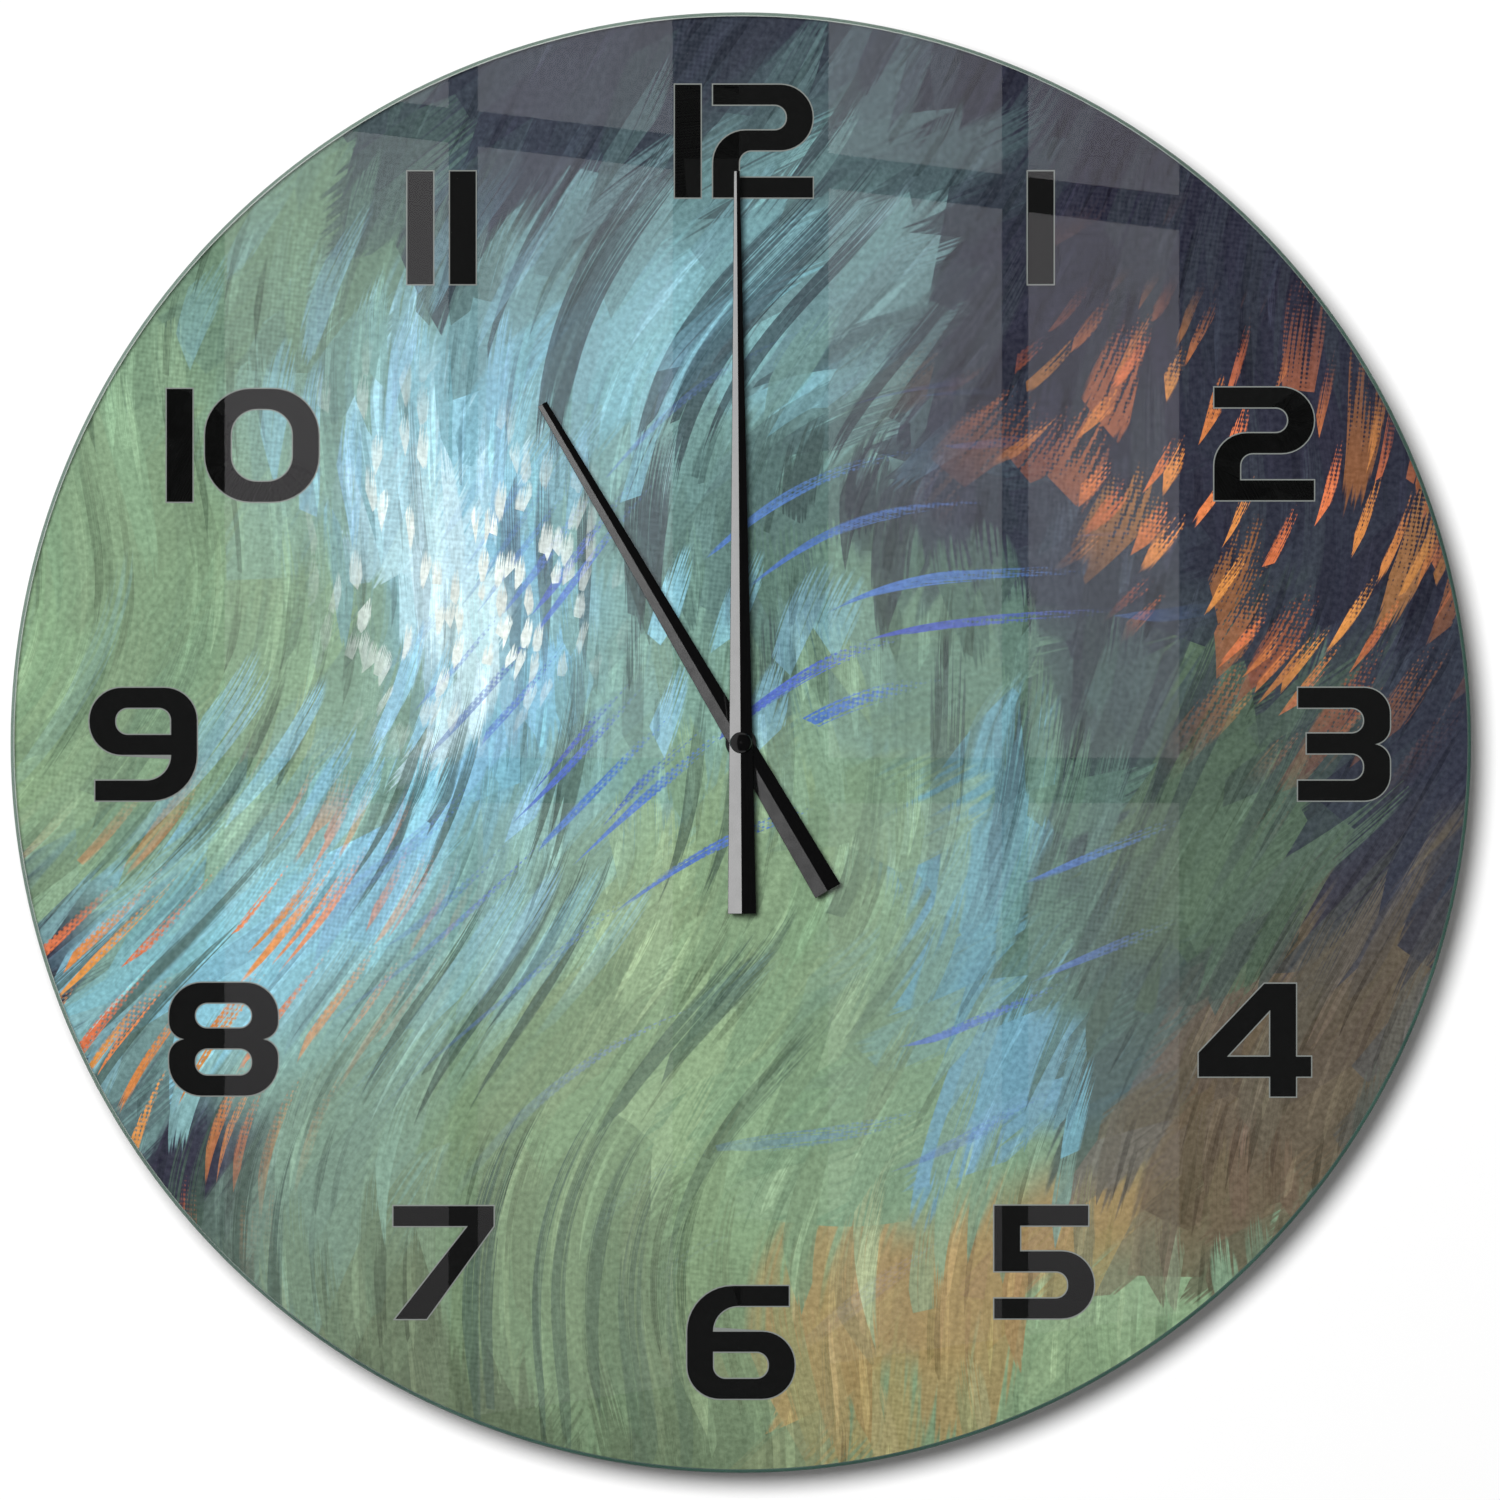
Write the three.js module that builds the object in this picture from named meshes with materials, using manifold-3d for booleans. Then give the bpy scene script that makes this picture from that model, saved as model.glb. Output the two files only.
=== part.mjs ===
// Round glass wall clock with a printed dial, two hands and a battery quartz movement behind the glass.
// Millimetres. +Z is up, the dial faces -Y and the wall is the plane y = 0.
// The origin is where the hand arbor's axis meets the wall plane.

import * as THREE from 'three';
import { mergeVertices } from 'three/addons/utils/BufferGeometryUtils.js';
import Module from 'manifold-3d';

const wasm = await Module();
wasm.setup();

// Glass and dial

const DISC_RADIUS = 150;
const GLASS_THICKNESS = 4;
const GLASS_ARRIS = 0.5;
const DISC_SIDES = 96;
const PRINT_INSET = 0.6;
const PRINT_THICKNESS = 0.3;
const INK_THICKNESS = 0.2;
const NUMERAL_INSET = 26.7;
const NUMERAL_HEIGHT = 23.2;
const MIDDLE_BAR_TOP = 13.8;
const STROKE = 4.1;
const STEM = 5.3;
const DIGIT_GAP = 2.55;
const ELEVEN_GAP = 3.45;

// How far right and up of its hour's place on the ring each numeral is printed

const NUMERAL_SHIFTS = {
	1: [0, -0.9], 2: [0.8, -0.2], 3: [0.7, -0.3], 4: [-1.1, 0.5], 5: [0.7, 0], 6: [0, 0],
	7: [0.5, -0.1], 8: [0.4, 0.7], 9: [0.4, -0.3], 10: [4.35, -0.5], 11: [0.1, -0.9], 12: [0.6, 0.4],
};

// Clearances

const RUN_GAP = 0.3;
const SEAT_GAP = 0.25;
const WHEEL_GAP = 0.2;
const PLATE_GAP = 0.5;
const SECOND_WHEEL_GAP = 0.6;

// How far joined shapes reach into each other, and how far a cut runs past a face

const JOIN = 0.1;
const PAST = 1;

// Movement case

const CASE_DEPTH = 16;
const CASE_CORNER = 3;
const SIDE_WALL = 1.2;
const FRONT_WALL = 1.2;
const COVER_THICKNESS = 1.5;
const DIVIDER_TOP = -10.4;
const DIVIDER_THICKNESS = 1;
const BAY_GAP = 0.6;
const ROOM_MARGIN = 1.2;
const PAD_THICKNESS = 1;
const PAD_MARGIN = 2;
const POST_RADIUS = 1.9;
const POST_INSET = 2.8;
const LOWER_POST_RISE = 2.6;
const UPPER_POST_RISE = 21.9;
const BEARING_WALL = 0.8;
const BEARING_HEIGHT = 1.5;
const PIVOT_RADIUS = 0.5;
const PIVOT_DEPTH = 0.5;
const MIDDLE_PLATE_THICKNESS = 0.8;

// Hands and their tubes

const HOUR_TUBE_RADIUS = 2.5;
const HOUR_NOSE_RADIUS = 2.1;
const HOUR_BORE_RADIUS = 1.75;
const CANNON_RADIUS = 1.5;
const CANNON_NOSE_RADIUS = 1.15;
const CANNON_BORE_RADIUS = 0.8;
const HUB_LIFT = 0.8;
const HUB_THICKNESS = 0.5;
const HAND_LIFT = 1.2;
const HAND_SHEET = 0.4;
const ROOF_SLOPE = 0.36;
const MINUTE_TIP_INSET = 32.7;
const MINUTE_TAIL = 35.1;
const MINUTE_TIP_WIDTH = 1.2;
const MINUTE_TAIL_WIDTH = 5.85;
const MINUTE_HUB_RADIUS = 2.3;
const HOUR_TIP = 80.6;
const HOUR_TAIL = 35.3;
const HOUR_TIP_WIDTH = 2.1;
const HOUR_TAIL_WIDTH = 5.9;
const HOUR_HUB_RADIUS = 3.1;
const HOUR_HAND_DEGREES = -30.4;
const MINUTE_HAND_DEGREES = -0.4;
const NUT_RADIUS = 2.2;
const NUT_HEIGHT = 2.2;
const NUT_WALL = 0.6;

// Wheels and pinions: a module is the pitch diameter divided by the number of teeth

const ADDENDUM = 0.75;
const DEDENDUM = 1.2;
const ROOT_SHARE = 0.24;
const TIP_SHARE = 0.09;
const WHEEL_THICKNESS = 0.8;
const THIN_WHEEL_THICKNESS = 0.7;
const HOUR_WHEEL_THICKNESS = 1;
const ARBOR_RADIUS = 0.9;
const CANNON_TEETH = 10;
const MOTION_WHEEL_TEETH = 30;
const MOTION_PINION_TEETH = 8;
const HOUR_WHEEL_TEETH = 32;
const MOTION_MODULE = 0.48;
const SECOND_PINION_TEETH = 6;
const THIRD_WHEEL_TEETH = 48;
const THIRD_PINION_TEETH = 8;
const MINUTE_GEAR_TEETH = 60;
const THIRD_MODULE = 0.34;
const ROTOR_PINION_TEETH = 6;
const INTERMEDIATE_WHEEL_TEETH = 30;
const ROTOR_MODULE = 0.3;
const INTERMEDIATE_PINION_TEETH = 6;
const SECOND_WHEEL_TEETH = 36;
const SECOND_MODULE = 0.35;
const MOTION_DEGREES = 190;
const THIRD_DEGREES = 0;
const MOTOR_DEGREES = 90;
const FLANGE_RADIUS = 3;
const FLANGE_THICKNESS = 0.2;
const CLUTCH_THICKNESS = 0.2;

// Motor, circuit and battery

const MAGNET_RADIUS = 2.2;
const MAGNET_HEIGHT = 2.4;
const STATOR_GAP = 0.5;
const STATOR_RIM = 1.45;
const LAMINATION = 1;
const STATOR_POST_HEIGHT = 1.7;
const STATOR_POST_RADIUS = 1.6;
const CORE_LENGTH = 27;
const CORE_WIDTH = 3;
const CORE_RISE = 8.25;
const LEG_WIDTH = 3.5;
const BOBBIN_END_GAP = 1;
const BOBBIN_WALL = 0.4;
const BOBBIN_FLANGE = 1;
const WINDING_THICKNESS = 1.1;
const SCREW_RADIUS = 0.7;
const SCREW_HEAD_RADIUS = 1.5;
const SCREW_HEAD_HEIGHT = 0.8;
const SCREW_SLOT_WIDTH = 0.4;
const BOARD_THICKNESS = 1;
const BOARD_HEIGHT = 11;
const CHIP_RADIUS = 3;
const CHIP_HEIGHT = 1;
const CHIP_SHOULDER_RADIUS = 2.1;
const CHIP_SHOULDER_HEIGHT = 0.7;
const CRYSTAL_RADIUS = 1;
const CRYSTAL_LENGTH = 6;
const CORE_END_GAP = 0.5;
const CONTACT_THICKNESS = 0.5;
const CONTACT_WIDTH = 6;
const CONTACT_LEAD = 3;
const LEAF_WIDTH = 4.8;
const LEAF_REACH = 1.75;
const BATTERY_LENGTH = 50.25;
const BATTERY_RADIUS = 7.1;
const BATTERY_NUB_RADIUS = 2.7;
const BATTERY_NUB = 1;
const BATTERY_CHAMFER = 0.5;
const KNOB_RADIUS = 5;
const KNOB_THICKNESS = 2.2;
const KNOB_SUNK = 0.4;
const KNOB_FLUTES = 24;
const KNOB_FLUTE_DEPTH = 0.35;
const CUP_WALL = 1;

// Hanger and wall spacers

const HANGER_WIDTH = 50;
const HANGER_HEIGHT = 24;
const HANGER_SHEET = 1;
const HANGER_BRIDGE = 26;
const HANGER_RISE = 8;
const HANGER_INSET = 62;
const KEYHOLE_RADIUS = 4.5;
const SLOT_RADIUS = 2.3;
const SLOT_LENGTH = 8;
const SPACER_BASE_RADIUS = 7;
const SPACER_TIP_RADIUS = 5.5;
const SPACER_COLLAR = 3;
const SPACER_INSET = 40;
const SPACER_DEGREES = 38;

// Planes from the wall forward

const caseFront = -CASE_DEPTH;
const padFront = caseFront - PAD_THICKNESS;
const printFront = padFront - PRINT_THICKNESS;
const inkFront = printFront - INK_THICKNESS;
const glassFront = inkFront - GLASS_THICKNESS;
const hourSeat = glassFront - HUB_LIFT;
const hourNose = hourSeat - HUB_THICKNESS;
const minuteSeat = hourNose - HAND_LIFT;
const nutSeat = minuteSeat - HUB_THICKNESS;
const nutFront = nutSeat - NUT_HEIGHT;
const cannonFront = nutSeat - (NUT_HEIGHT - NUT_WALL - RUN_GAP);

// Planes inside the case, from its front wall back to the cover. Each pair is [front, rear].

const roomFront = caseFront + FRONT_WALL;
const coverInside = -COVER_THICKNESS;
const hourLevel = level(roomFront + RUN_GAP, HOUR_WHEEL_THICKNESS);
const motionLevel = level(hourLevel[1] + 2 * WHEEL_GAP, THIN_WHEEL_THICKNESS);
const flangeLevel = level(motionLevel[1] + WHEEL_GAP, FLANGE_THICKNESS);
const clutchLevel = level(flangeLevel[1], CLUTCH_THICKNESS);
const minuteGearLevel = level(clutchLevel[1], THIN_WHEEL_THICKNESS);
const thirdLevel = level(minuteGearLevel[1] + WHEEL_GAP, WHEEL_THICKNESS);
const plateLevel = level(thirdLevel[1] + PLATE_GAP, MIDDLE_PLATE_THICKNESS);
const secondLevel = level(plateLevel[1] + SECOND_WHEEL_GAP, WHEEL_THICKNESS);
const statorLevel = level(plateLevel[1] + STATOR_POST_HEIGHT, LAMINATION);
const coreLevel = level(statorLevel[1], LAMINATION);
const magnetLevel = level(statorLevel[0] + (LAMINATION - MAGNET_HEIGHT) / 2, MAGNET_HEIGHT);
const rotorCollarLevel = level(magnetLevel[1], WHEEL_GAP);
const intermediateLevel = level(rotorCollarLevel[1] + 2 * WHEEL_GAP, WHEEL_THICKNESS);
const coreY = (coreLevel[0] + coreLevel[1]) / 2;
const windingDepth = LAMINATION / 2 + WHEEL_GAP + BOBBIN_WALL + WINDING_THICKNESS;
const boardLevel = level(coreY + windingDepth + WHEEL_GAP, BOARD_THICKNESS);
const knobRear = -KNOB_SUNK;
const knobFront = knobRear - KNOB_THICKNESS;
const cupFloor = knobFront - KNOB_SUNK;
const cupFront = cupFloor - CUP_WALL;
const pivotRear = coverInside - PIVOT_DEPTH - SEAT_GAP;

// Places of the arbors, as seen from the front: x to the right, z up

const motionDistance = MOTION_MODULE * (CANNON_TEETH + MOTION_WHEEL_TEETH) / 2;
const thirdDistance = THIRD_MODULE * (SECOND_PINION_TEETH + THIRD_WHEEL_TEETH) / 2;
const minuteGearModule = 2 * thirdDistance / (THIRD_PINION_TEETH + MINUTE_GEAR_TEETH);
const hourModule = 2 * motionDistance / (MOTION_PINION_TEETH + HOUR_WHEEL_TEETH);
const intermediateDistance = SECOND_MODULE * (INTERMEDIATE_PINION_TEETH + SECOND_WHEEL_TEETH) / 2;
const rotorDistance = ROTOR_MODULE * (ROTOR_PINION_TEETH + INTERMEDIATE_WHEEL_TEETH) / 2;
const centre = new THREE.Vector2(0, 0);
const motionArbor = away(centre, MOTION_DEGREES, motionDistance);
const thirdArbor = away(centre, THIRD_DEGREES, thirdDistance);
const intermediateArbor = away(centre, MOTOR_DEGREES, intermediateDistance);
const rotorArbor = away(intermediateArbor, MOTOR_DEGREES, rotorDistance);
const coreZ = rotorArbor.y + CORE_RISE;

// The case's inside: as wide as the battery and its contacts,
// as high as the battery, the wheels and the board together

const contactInside = (BATTERY_LENGTH + LEAF_REACH) / 2 + RUN_GAP;
const roomX = contactInside + CONTACT_THICKNESS;
const caseSide = roomX + SIDE_WALL;
const batteryRight = contactInside - RUN_GAP;
const batteryLeft = batteryRight - BATTERY_LENGTH;
const bayTop = DIVIDER_TOP - DIVIDER_THICKNESS;
const bayBottom = bayTop - 2 * (BATTERY_RADIUS + BAY_GAP);
const caseBottom = bayBottom - SIDE_WALL;
const boardBottom = rotorArbor.y + PIVOT_RADIUS + SEAT_GAP + BEARING_WALL + RUN_GAP;
const roomTop = boardBottom + BOARD_HEIGHT + ROOM_MARGIN;
const caseTop = roomTop + SIDE_WALL;
const postX = roomX - POST_INSET;
const postPlaces = [-1, 1].flatMap((side) => [LOWER_POST_RISE, UPPER_POST_RISE].map(
	(rise) => new THREE.Vector2(side * postX, DIVIDER_TOP + rise)));
const batteryY = roomFront + RUN_GAP + BATTERY_RADIUS;
const batteryZ = (bayTop + bayBottom) / 2;
const screwX = (CORE_LENGTH - LEG_WIDTH) / 2;
const bobbinLength = CORE_LENGTH - 2 * LEG_WIDTH - 2 * BOBBIN_END_GAP;

function level(front, thickness) {
	return [front, front + thickness];
}

function away(from, degrees, distance) {
	const angle = THREE.MathUtils.degToRad(degrees);
	return new THREE.Vector2(from.x + distance * Math.cos(angle), from.y + distance * Math.sin(angle));
}

// Plain shapes

// A closed outline whose corners are [x, z] or [x, z, radius].
function outline(corners, path = new THREE.Shape()) {
	corners.forEach(([x, z, radius = 0], i) => {
		const corner = new THREE.Vector2(x, z);
		const before = new THREE.Vector2(...corners.at(i - 1)).sub(corner).normalize();
		const after = new THREE.Vector2(...corners[(i + 1) % corners.length]).sub(corner).normalize();
		const half = Math.acos(THREE.MathUtils.clamp(before.dot(after), -1, 1)) / 2;
		const start = corner.clone().addScaledVector(before, radius / Math.tan(half));
		if (i === 0) {
			path.moveTo(start.x, start.y);
		} else {
			path.lineTo(start.x, start.y);
		}
		if (radius > 0) {
			const end = corner.clone().addScaledVector(after, radius / Math.tan(half));
			const inward = before.clone().add(after).normalize();
			const middle = corner.clone().addScaledVector(inward, radius / Math.sin(half));
			const first = start.clone().sub(middle).angle();
			const last = end.clone().sub(middle).angle();
			path.absarc(middle.x, middle.y, radius, first, last, before.cross(after) > 0);
		}
	});
	path.closePath();
	return path;
}

function circle(x, z, radius) {
	return new THREE.Path().absarc(x, z, radius, 0, 2 * Math.PI);
}

function rectangle(left, right, bottom, top, radius = 0) {
	const corners = [[left, bottom], [right, bottom], [right, top], [left, top]];
	return outline(corners.map((corner) => [...corner, radius]));
}

// A flat plate: the shape lies in the XZ plane and fills the level along Y.
function plate(shape, [front, rear], curveSegments = 6) {
	const depth = rear - front;
	const geometry = new THREE.ExtrudeGeometry(shape, { depth, bevelEnabled: false, curveSegments });
	return geometry.rotateX(Math.PI / 2).translate(0, rear, 0);
}

// A body turned about Y from a closed profile of [radius, y] points.
function turned(profile, sides = 24) {
	const points = profile.map(([radius, y]) => new THREE.Vector2(radius, y));
	if (THREE.ShapeUtils.area(points) < 0) {
		points.reverse();
	}
	return new THREE.LatheGeometry([...points, points[0]], sides);
}

function rod(radius, [front, rear], place = centre, sides = 12) {
	const length = rear - front;
	return new THREE.CylinderGeometry(radius, radius, length, sides)
		.translate(place.x, front + length / 2, place.y);
}

function block([left, right], [front, rear], [bottom, top]) {
	return new THREE.BoxGeometry(right - left, rear - front, top - bottom)
		.translate((left + right) / 2, (front + rear) / 2, (bottom + top) / 2);
}

// Joining and cutting

function solid(geometry) {
	const bare = geometry.clone();
	bare.deleteAttribute('normal');
	bare.deleteAttribute('uv');
	const merged = mergeVertices(bare);
	const vertProperties = new Float32Array(merged.attributes.position.array);
	const triVerts = new Uint32Array(merged.index.array);
	return new wasm.Manifold(new wasm.Mesh({ numProp: 3, vertProperties, triVerts }));
}

function surface(body) {
	const mesh = body.getMesh();
	const geometry = new THREE.BufferGeometry();
	geometry.setAttribute('position', new THREE.BufferAttribute(new Float32Array(mesh.vertProperties), 3));
	geometry.setIndex(new THREE.BufferAttribute(new Uint32Array(mesh.triVerts), 1));
	return geometry;
}

function built(parts, cuts = []) {
	const whole = parts.map(solid).reduce((sum, part) => sum.add(part));
	return surface(cuts.map(solid).reduce((rest, cut) => rest.subtract(cut), whole));
}

// Toothed wheels: phase is the direction of one tooth, in radians from +X towards +Z

function gearShape(teeth, module, phase) {
	const pitchRadius = module * teeth / 2;
	const tip = pitchRadius + ADDENDUM * module;
	const root = pitchRadius - DEDENDUM * module;
	const step = 2 * Math.PI / teeth;
	const shape = new THREE.Shape();
	const corners = [[root, -ROOT_SHARE], [tip, -TIP_SHARE], [tip, TIP_SHARE], [root, ROOT_SHARE]];
	for (let tooth = 0; tooth < teeth; tooth += 1) {
		for (const [radius, share] of corners) {
			const angle = phase + (tooth + share) * step;
			const x = radius * Math.cos(angle);
			const z = radius * Math.sin(angle);
			if (shape.curves.length === 0 && shape.currentPoint.length() === 0) {
				shape.moveTo(x, z);
			} else {
				shape.lineTo(x, z);
			}
		}
	}
	shape.closePath();
	return shape;
}

// A tooth of the driver points at the follower, where the follower has a space.
function meshPhases(driver, follower, followerTeeth) {
	const towards = follower.clone().sub(driver).angle();
	return [towards, towards + Math.PI + Math.PI / followerTeeth];
}

// The clock

const clock = new THREE.Group();
clock.name = 'glass_wall_clock';

function finish(color, roughness, metalness = 0) {
	return new THREE.MeshStandardMaterial({ color, roughness, metalness });
}

function add(name, geometry, material, place = centre) {
	const mesh = new THREE.Mesh(geometry, material);
	mesh.name = name;
	mesh.position.set(place.x, 0, place.y);
	clock.add(mesh);
	return mesh;
}

const tubeHoleRadius = HOUR_TUBE_RADIUS + SEAT_GAP + WHEEL_GAP;

// The tempered disc with its polished edge and the hole for the hour tube.
function addGlass() {
	const material = finish(0x8fb5ab, 0.03);
	material.transparent = true;
	material.opacity = 0.3;
	const profile = [
		[tubeHoleRadius, glassFront],
		[DISC_RADIUS - GLASS_ARRIS, glassFront],
		[DISC_RADIUS, glassFront + GLASS_ARRIS],
		[DISC_RADIUS, inkFront - GLASS_ARRIS],
		[DISC_RADIUS - GLASS_ARRIS, inkFront],
		[tubeHoleRadius, inkFront],
	];
	add('glass_disc', turned(profile, DISC_SIDES), material);
}

// The picture layer behind the glass.
function addPrint() {
	const profile = [
		[tubeHoleRadius, printFront],
		[DISC_RADIUS - PRINT_INSET, printFront],
		[DISC_RADIUS - PRINT_INSET, padFront],
		[tubeHoleRadius, padFront],
	];
	add('dial_print', turned(profile, DISC_SIDES), finish(0x6f8f80, 0.6));
}

// Wide square-cut digits. Corners are [x, z, radius] from the digit's lower left.
const INNER_BOWL = 2.6;
const WAIST = 3.6;
const WAIST_RISE = 0.8;
const NOTCH = 3.1;
const ZERO_BOWL = 9.5;
const THREE_BOWL = 5.3;
const THREE_BAR_INSET = 1.8;
const FOUR_ARM = 3.1;
const FOUR_PEAK = 1.2;
const FOUR_CORNER = 9;
const FOUR_HOLE_LEFT = 5.8;
const FOUR_HOLE_TOP = 17.8;
const SEVEN_FOOT = 6.4;
const SEVEN_FOOT_INSET = 0.4;
const SIX_SHOULDER = 9.4;
const BAR_INSET = 1.2;
const top = NUMERAL_HEIGHT;
const middleTop = MIDDLE_BAR_TOP;
const middleBottom = middleTop - STROKE;
const BOWL = (top - middleBottom - JOIN) / 2;
const LOWER_BOWL = Math.min(BOWL, (middleTop - JOIN) / 2);

function turnedRound(corners, width) {
	return corners.map(([x, z, radius]) => [width - x, top - z, radius]);
}

// The eight's waist, or the three's: two corners beside a notch in the side x, from below upwards.
function waist(x, notch) {
	return [[x, top / 2 - WAIST_RISE, WAIST], [notch, top / 2], [x, top / 2 + WAIST_RISE, WAIST]];
}

// A digit's width and its outlines: the edge first, then the holes.
const DIGITS = {
	0: [23.4, (w) => {
		const [outer, inner] = [ZERO_BOWL, ZERO_BOWL - STROKE];
		return [
			[[0, 0, outer], [w, 0, outer], [w, top, outer], [0, top, outer]],
			[
				[STEM, STROKE, inner], [w - STEM, STROKE, inner], [w - STEM, top - STROKE, inner],
				[STEM, top - STROKE, inner],
			],
		];
	}],
	1: [STEM, (w) => [[[0, 0], [w, 0], [w, top], [0, top]]]],
	2: [20.5, (w) => [[
		[0, 0], [w, 0], [w, STROKE], [STEM, STROKE], [STEM, middleBottom, INNER_BOWL],
		[w, middleBottom, BOWL], [w, top, BOWL], [0, top], [0, top - STROKE],
		[w - STEM, top - STROKE, INNER_BOWL], [w - STEM, middleTop, INNER_BOWL], [0, middleTop, BOWL],
	]]],
	3: [18.9, (w) => [[
		[0, 0], [w, 0, THREE_BOWL], ...waist(w, w - NOTCH), [w, top, THREE_BOWL], [0, top], [0, top - STROKE],
		[w - STEM, top - STROKE, INNER_BOWL], [w - STEM, middleTop, INNER_BOWL], [THREE_BAR_INSET, middleTop],
		[THREE_BAR_INSET, middleBottom], [w - STEM, middleBottom, INNER_BOWL], [w - STEM, STROKE, INNER_BOWL],
		[0, STROKE],
	]]],
	4: [23.1, (w) => {
		const stemRight = w - FOUR_ARM;
		const stemLeft = stemRight - STEM;
		return [
			[
				[stemLeft, 0], [stemRight, 0], [stemRight, STROKE], [w, STROKE], [w, 2 * STROKE],
				[stemRight, 2 * STROKE], [stemRight, top], [stemLeft - FOUR_PEAK, top], [0, FOUR_CORNER], [0, STROKE],
				[stemLeft, STROKE],
			],
			[[FOUR_HOLE_LEFT, 2 * STROKE], [stemLeft, 2 * STROKE], [stemLeft, FOUR_HOLE_TOP]],
		];
	}],
	5: [20.5, (w) => [[
		[0, 0], [w, 0, LOWER_BOWL], [w, middleTop, LOWER_BOWL], [STEM, middleTop], [STEM, top - STROKE],
		[w - BAR_INSET, top - STROKE], [w - BAR_INSET, top], [0, top], [0, middleBottom],
		[w - STEM, middleBottom, INNER_BOWL], [w - STEM, STROKE, INNER_BOWL], [0, STROKE],
	]]],
	6: [22.1, sixOutlines],
	7: [20.6, (w) => [[
		[SEVEN_FOOT_INSET, 0], [SEVEN_FOOT_INSET + SEVEN_FOOT, 0], [w, top - STROKE], [w, top], [0, top],
		[0, top - STROKE], [w - STEM, top - STROKE],
	]]],
	8: [22.4, (w) => [
		[
			[0, 0, BOWL], [w, 0, BOWL], ...waist(w, w - NOTCH), [w, top, BOWL], [0, top, BOWL],
			...waist(0, NOTCH).reverse(),
		],
		...[[STROKE, middleBottom], [middleTop, top - STROKE]].map(([floor, roof]) => [
			[STEM, floor, INNER_BOWL], [w - STEM, floor, INNER_BOWL], [w - STEM, roof, INNER_BOWL],
			[STEM, roof, INNER_BOWL],
		]),
	]],
	9: [22.1, (w) => sixOutlines(w).map((corners) => turnedRound(corners, w))],
};

function sixOutlines(w) {
	return [
		[
			[0, 0, LOWER_BOWL], [w, 0, LOWER_BOWL], [w, middleTop, LOWER_BOWL], [STEM, middleTop],
			[STEM, top - STROKE, 2 * INNER_BOWL], [w - BAR_INSET, top - STROKE], [w - BAR_INSET, top],
			[0, top, SIX_SHOULDER],
		],
		[
			[STEM, STROKE, INNER_BOWL], [w - STEM, STROKE, INNER_BOWL], [w - STEM, middleBottom, INNER_BOWL],
			[STEM, middleBottom],
		],
	];
}

function digitGeometry(digit) {
	const [width, outlines] = DIGITS[digit];
	const [edge, ...holes] = outlines(width);
	const shape = outline(edge);
	shape.holes = holes.map((hole) => outline(hole, new THREE.Path()));
	return plate(shape, [inkFront, printFront], 2).translate(-width / 2, 0, -top / 2);
}

// The twelve hours, upright near one ring. Two-digit hours stand as a pair.
function addNumerals() {
	for (let hour = 1; hour <= 12; hour += 1) {
		const digits = String(hour).split('');
		const gap = hour === 11 ? ELEVEN_GAP : DIGIT_GAP;
		const widths = digits.map((digit) => DIGITS[digit][0]);
		const total = widths.reduce((sum, width) => sum + width) + gap * (digits.length - 1);
		const [right, up] = NUMERAL_SHIFTS[hour];
		const place = away(centre, 90 - 30 * hour, DISC_RADIUS - NUMERAL_INSET);
		let left = right - total / 2;
		digits.forEach((digit, i) => {
			const name = digits.length === 1 ? `numeral_${hour}` : `numeral_${hour}_${['left', 'right'][i]}`;
			const spot = new THREE.Vector2(place.x + left + widths[i] / 2, place.y + up);
			add(name, digitGeometry(digit), finish(0x141414, 0.5), spot);
			left += widths[i] + gap;
		});
	}
}

// The moulded tray: gear room above, battery bay below, posts for the middle plate.
function addFrontCase() {
	const whole = plate(rectangle(-caseSide, caseSide, caseBottom, caseTop, CASE_CORNER), [caseFront, 0], 3);
	const posts = postPlaces.map((place) => rod(POST_RADIUS, [roomFront - RUN_GAP, plateLevel[0]], place));
	const inside = [roomFront, PAST];
	const contactSlots = [[-roomX, RUN_GAP - contactInside], [contactInside - RUN_GAP, roomX]];
	const hollows = [
		block([-roomX, roomX], inside, [DIVIDER_TOP, roomTop]),
		block([-roomX, roomX], inside, [bayBottom, bayTop]),
		block([-caseSide - PAST, caseSide + PAST], [coverInside, PAST], [bayTop, caseTop + PAST]),
		...contactSlots.map((x) => block(x, inside, [bayTop - RUN_GAP, DIVIDER_TOP + RUN_GAP])),
	];
	const tray = built([whole], hollows);
	const pivotHole = [roomFront - PIVOT_DEPTH - SEAT_GAP, roomFront + PAST];
	const holes = [
		rod(tubeHoleRadius, [caseFront - PAST, roomFront + PAST], centre, 24),
		rod(PIVOT_RADIUS + SEAT_GAP, pivotHole, motionArbor),
		rod(PIVOT_RADIUS + SEAT_GAP, pivotHole, thirdArbor),
	];
	add('front_case', built([tray, ...posts], holes), finish(0x1c1c1e, 0.55));
}

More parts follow.
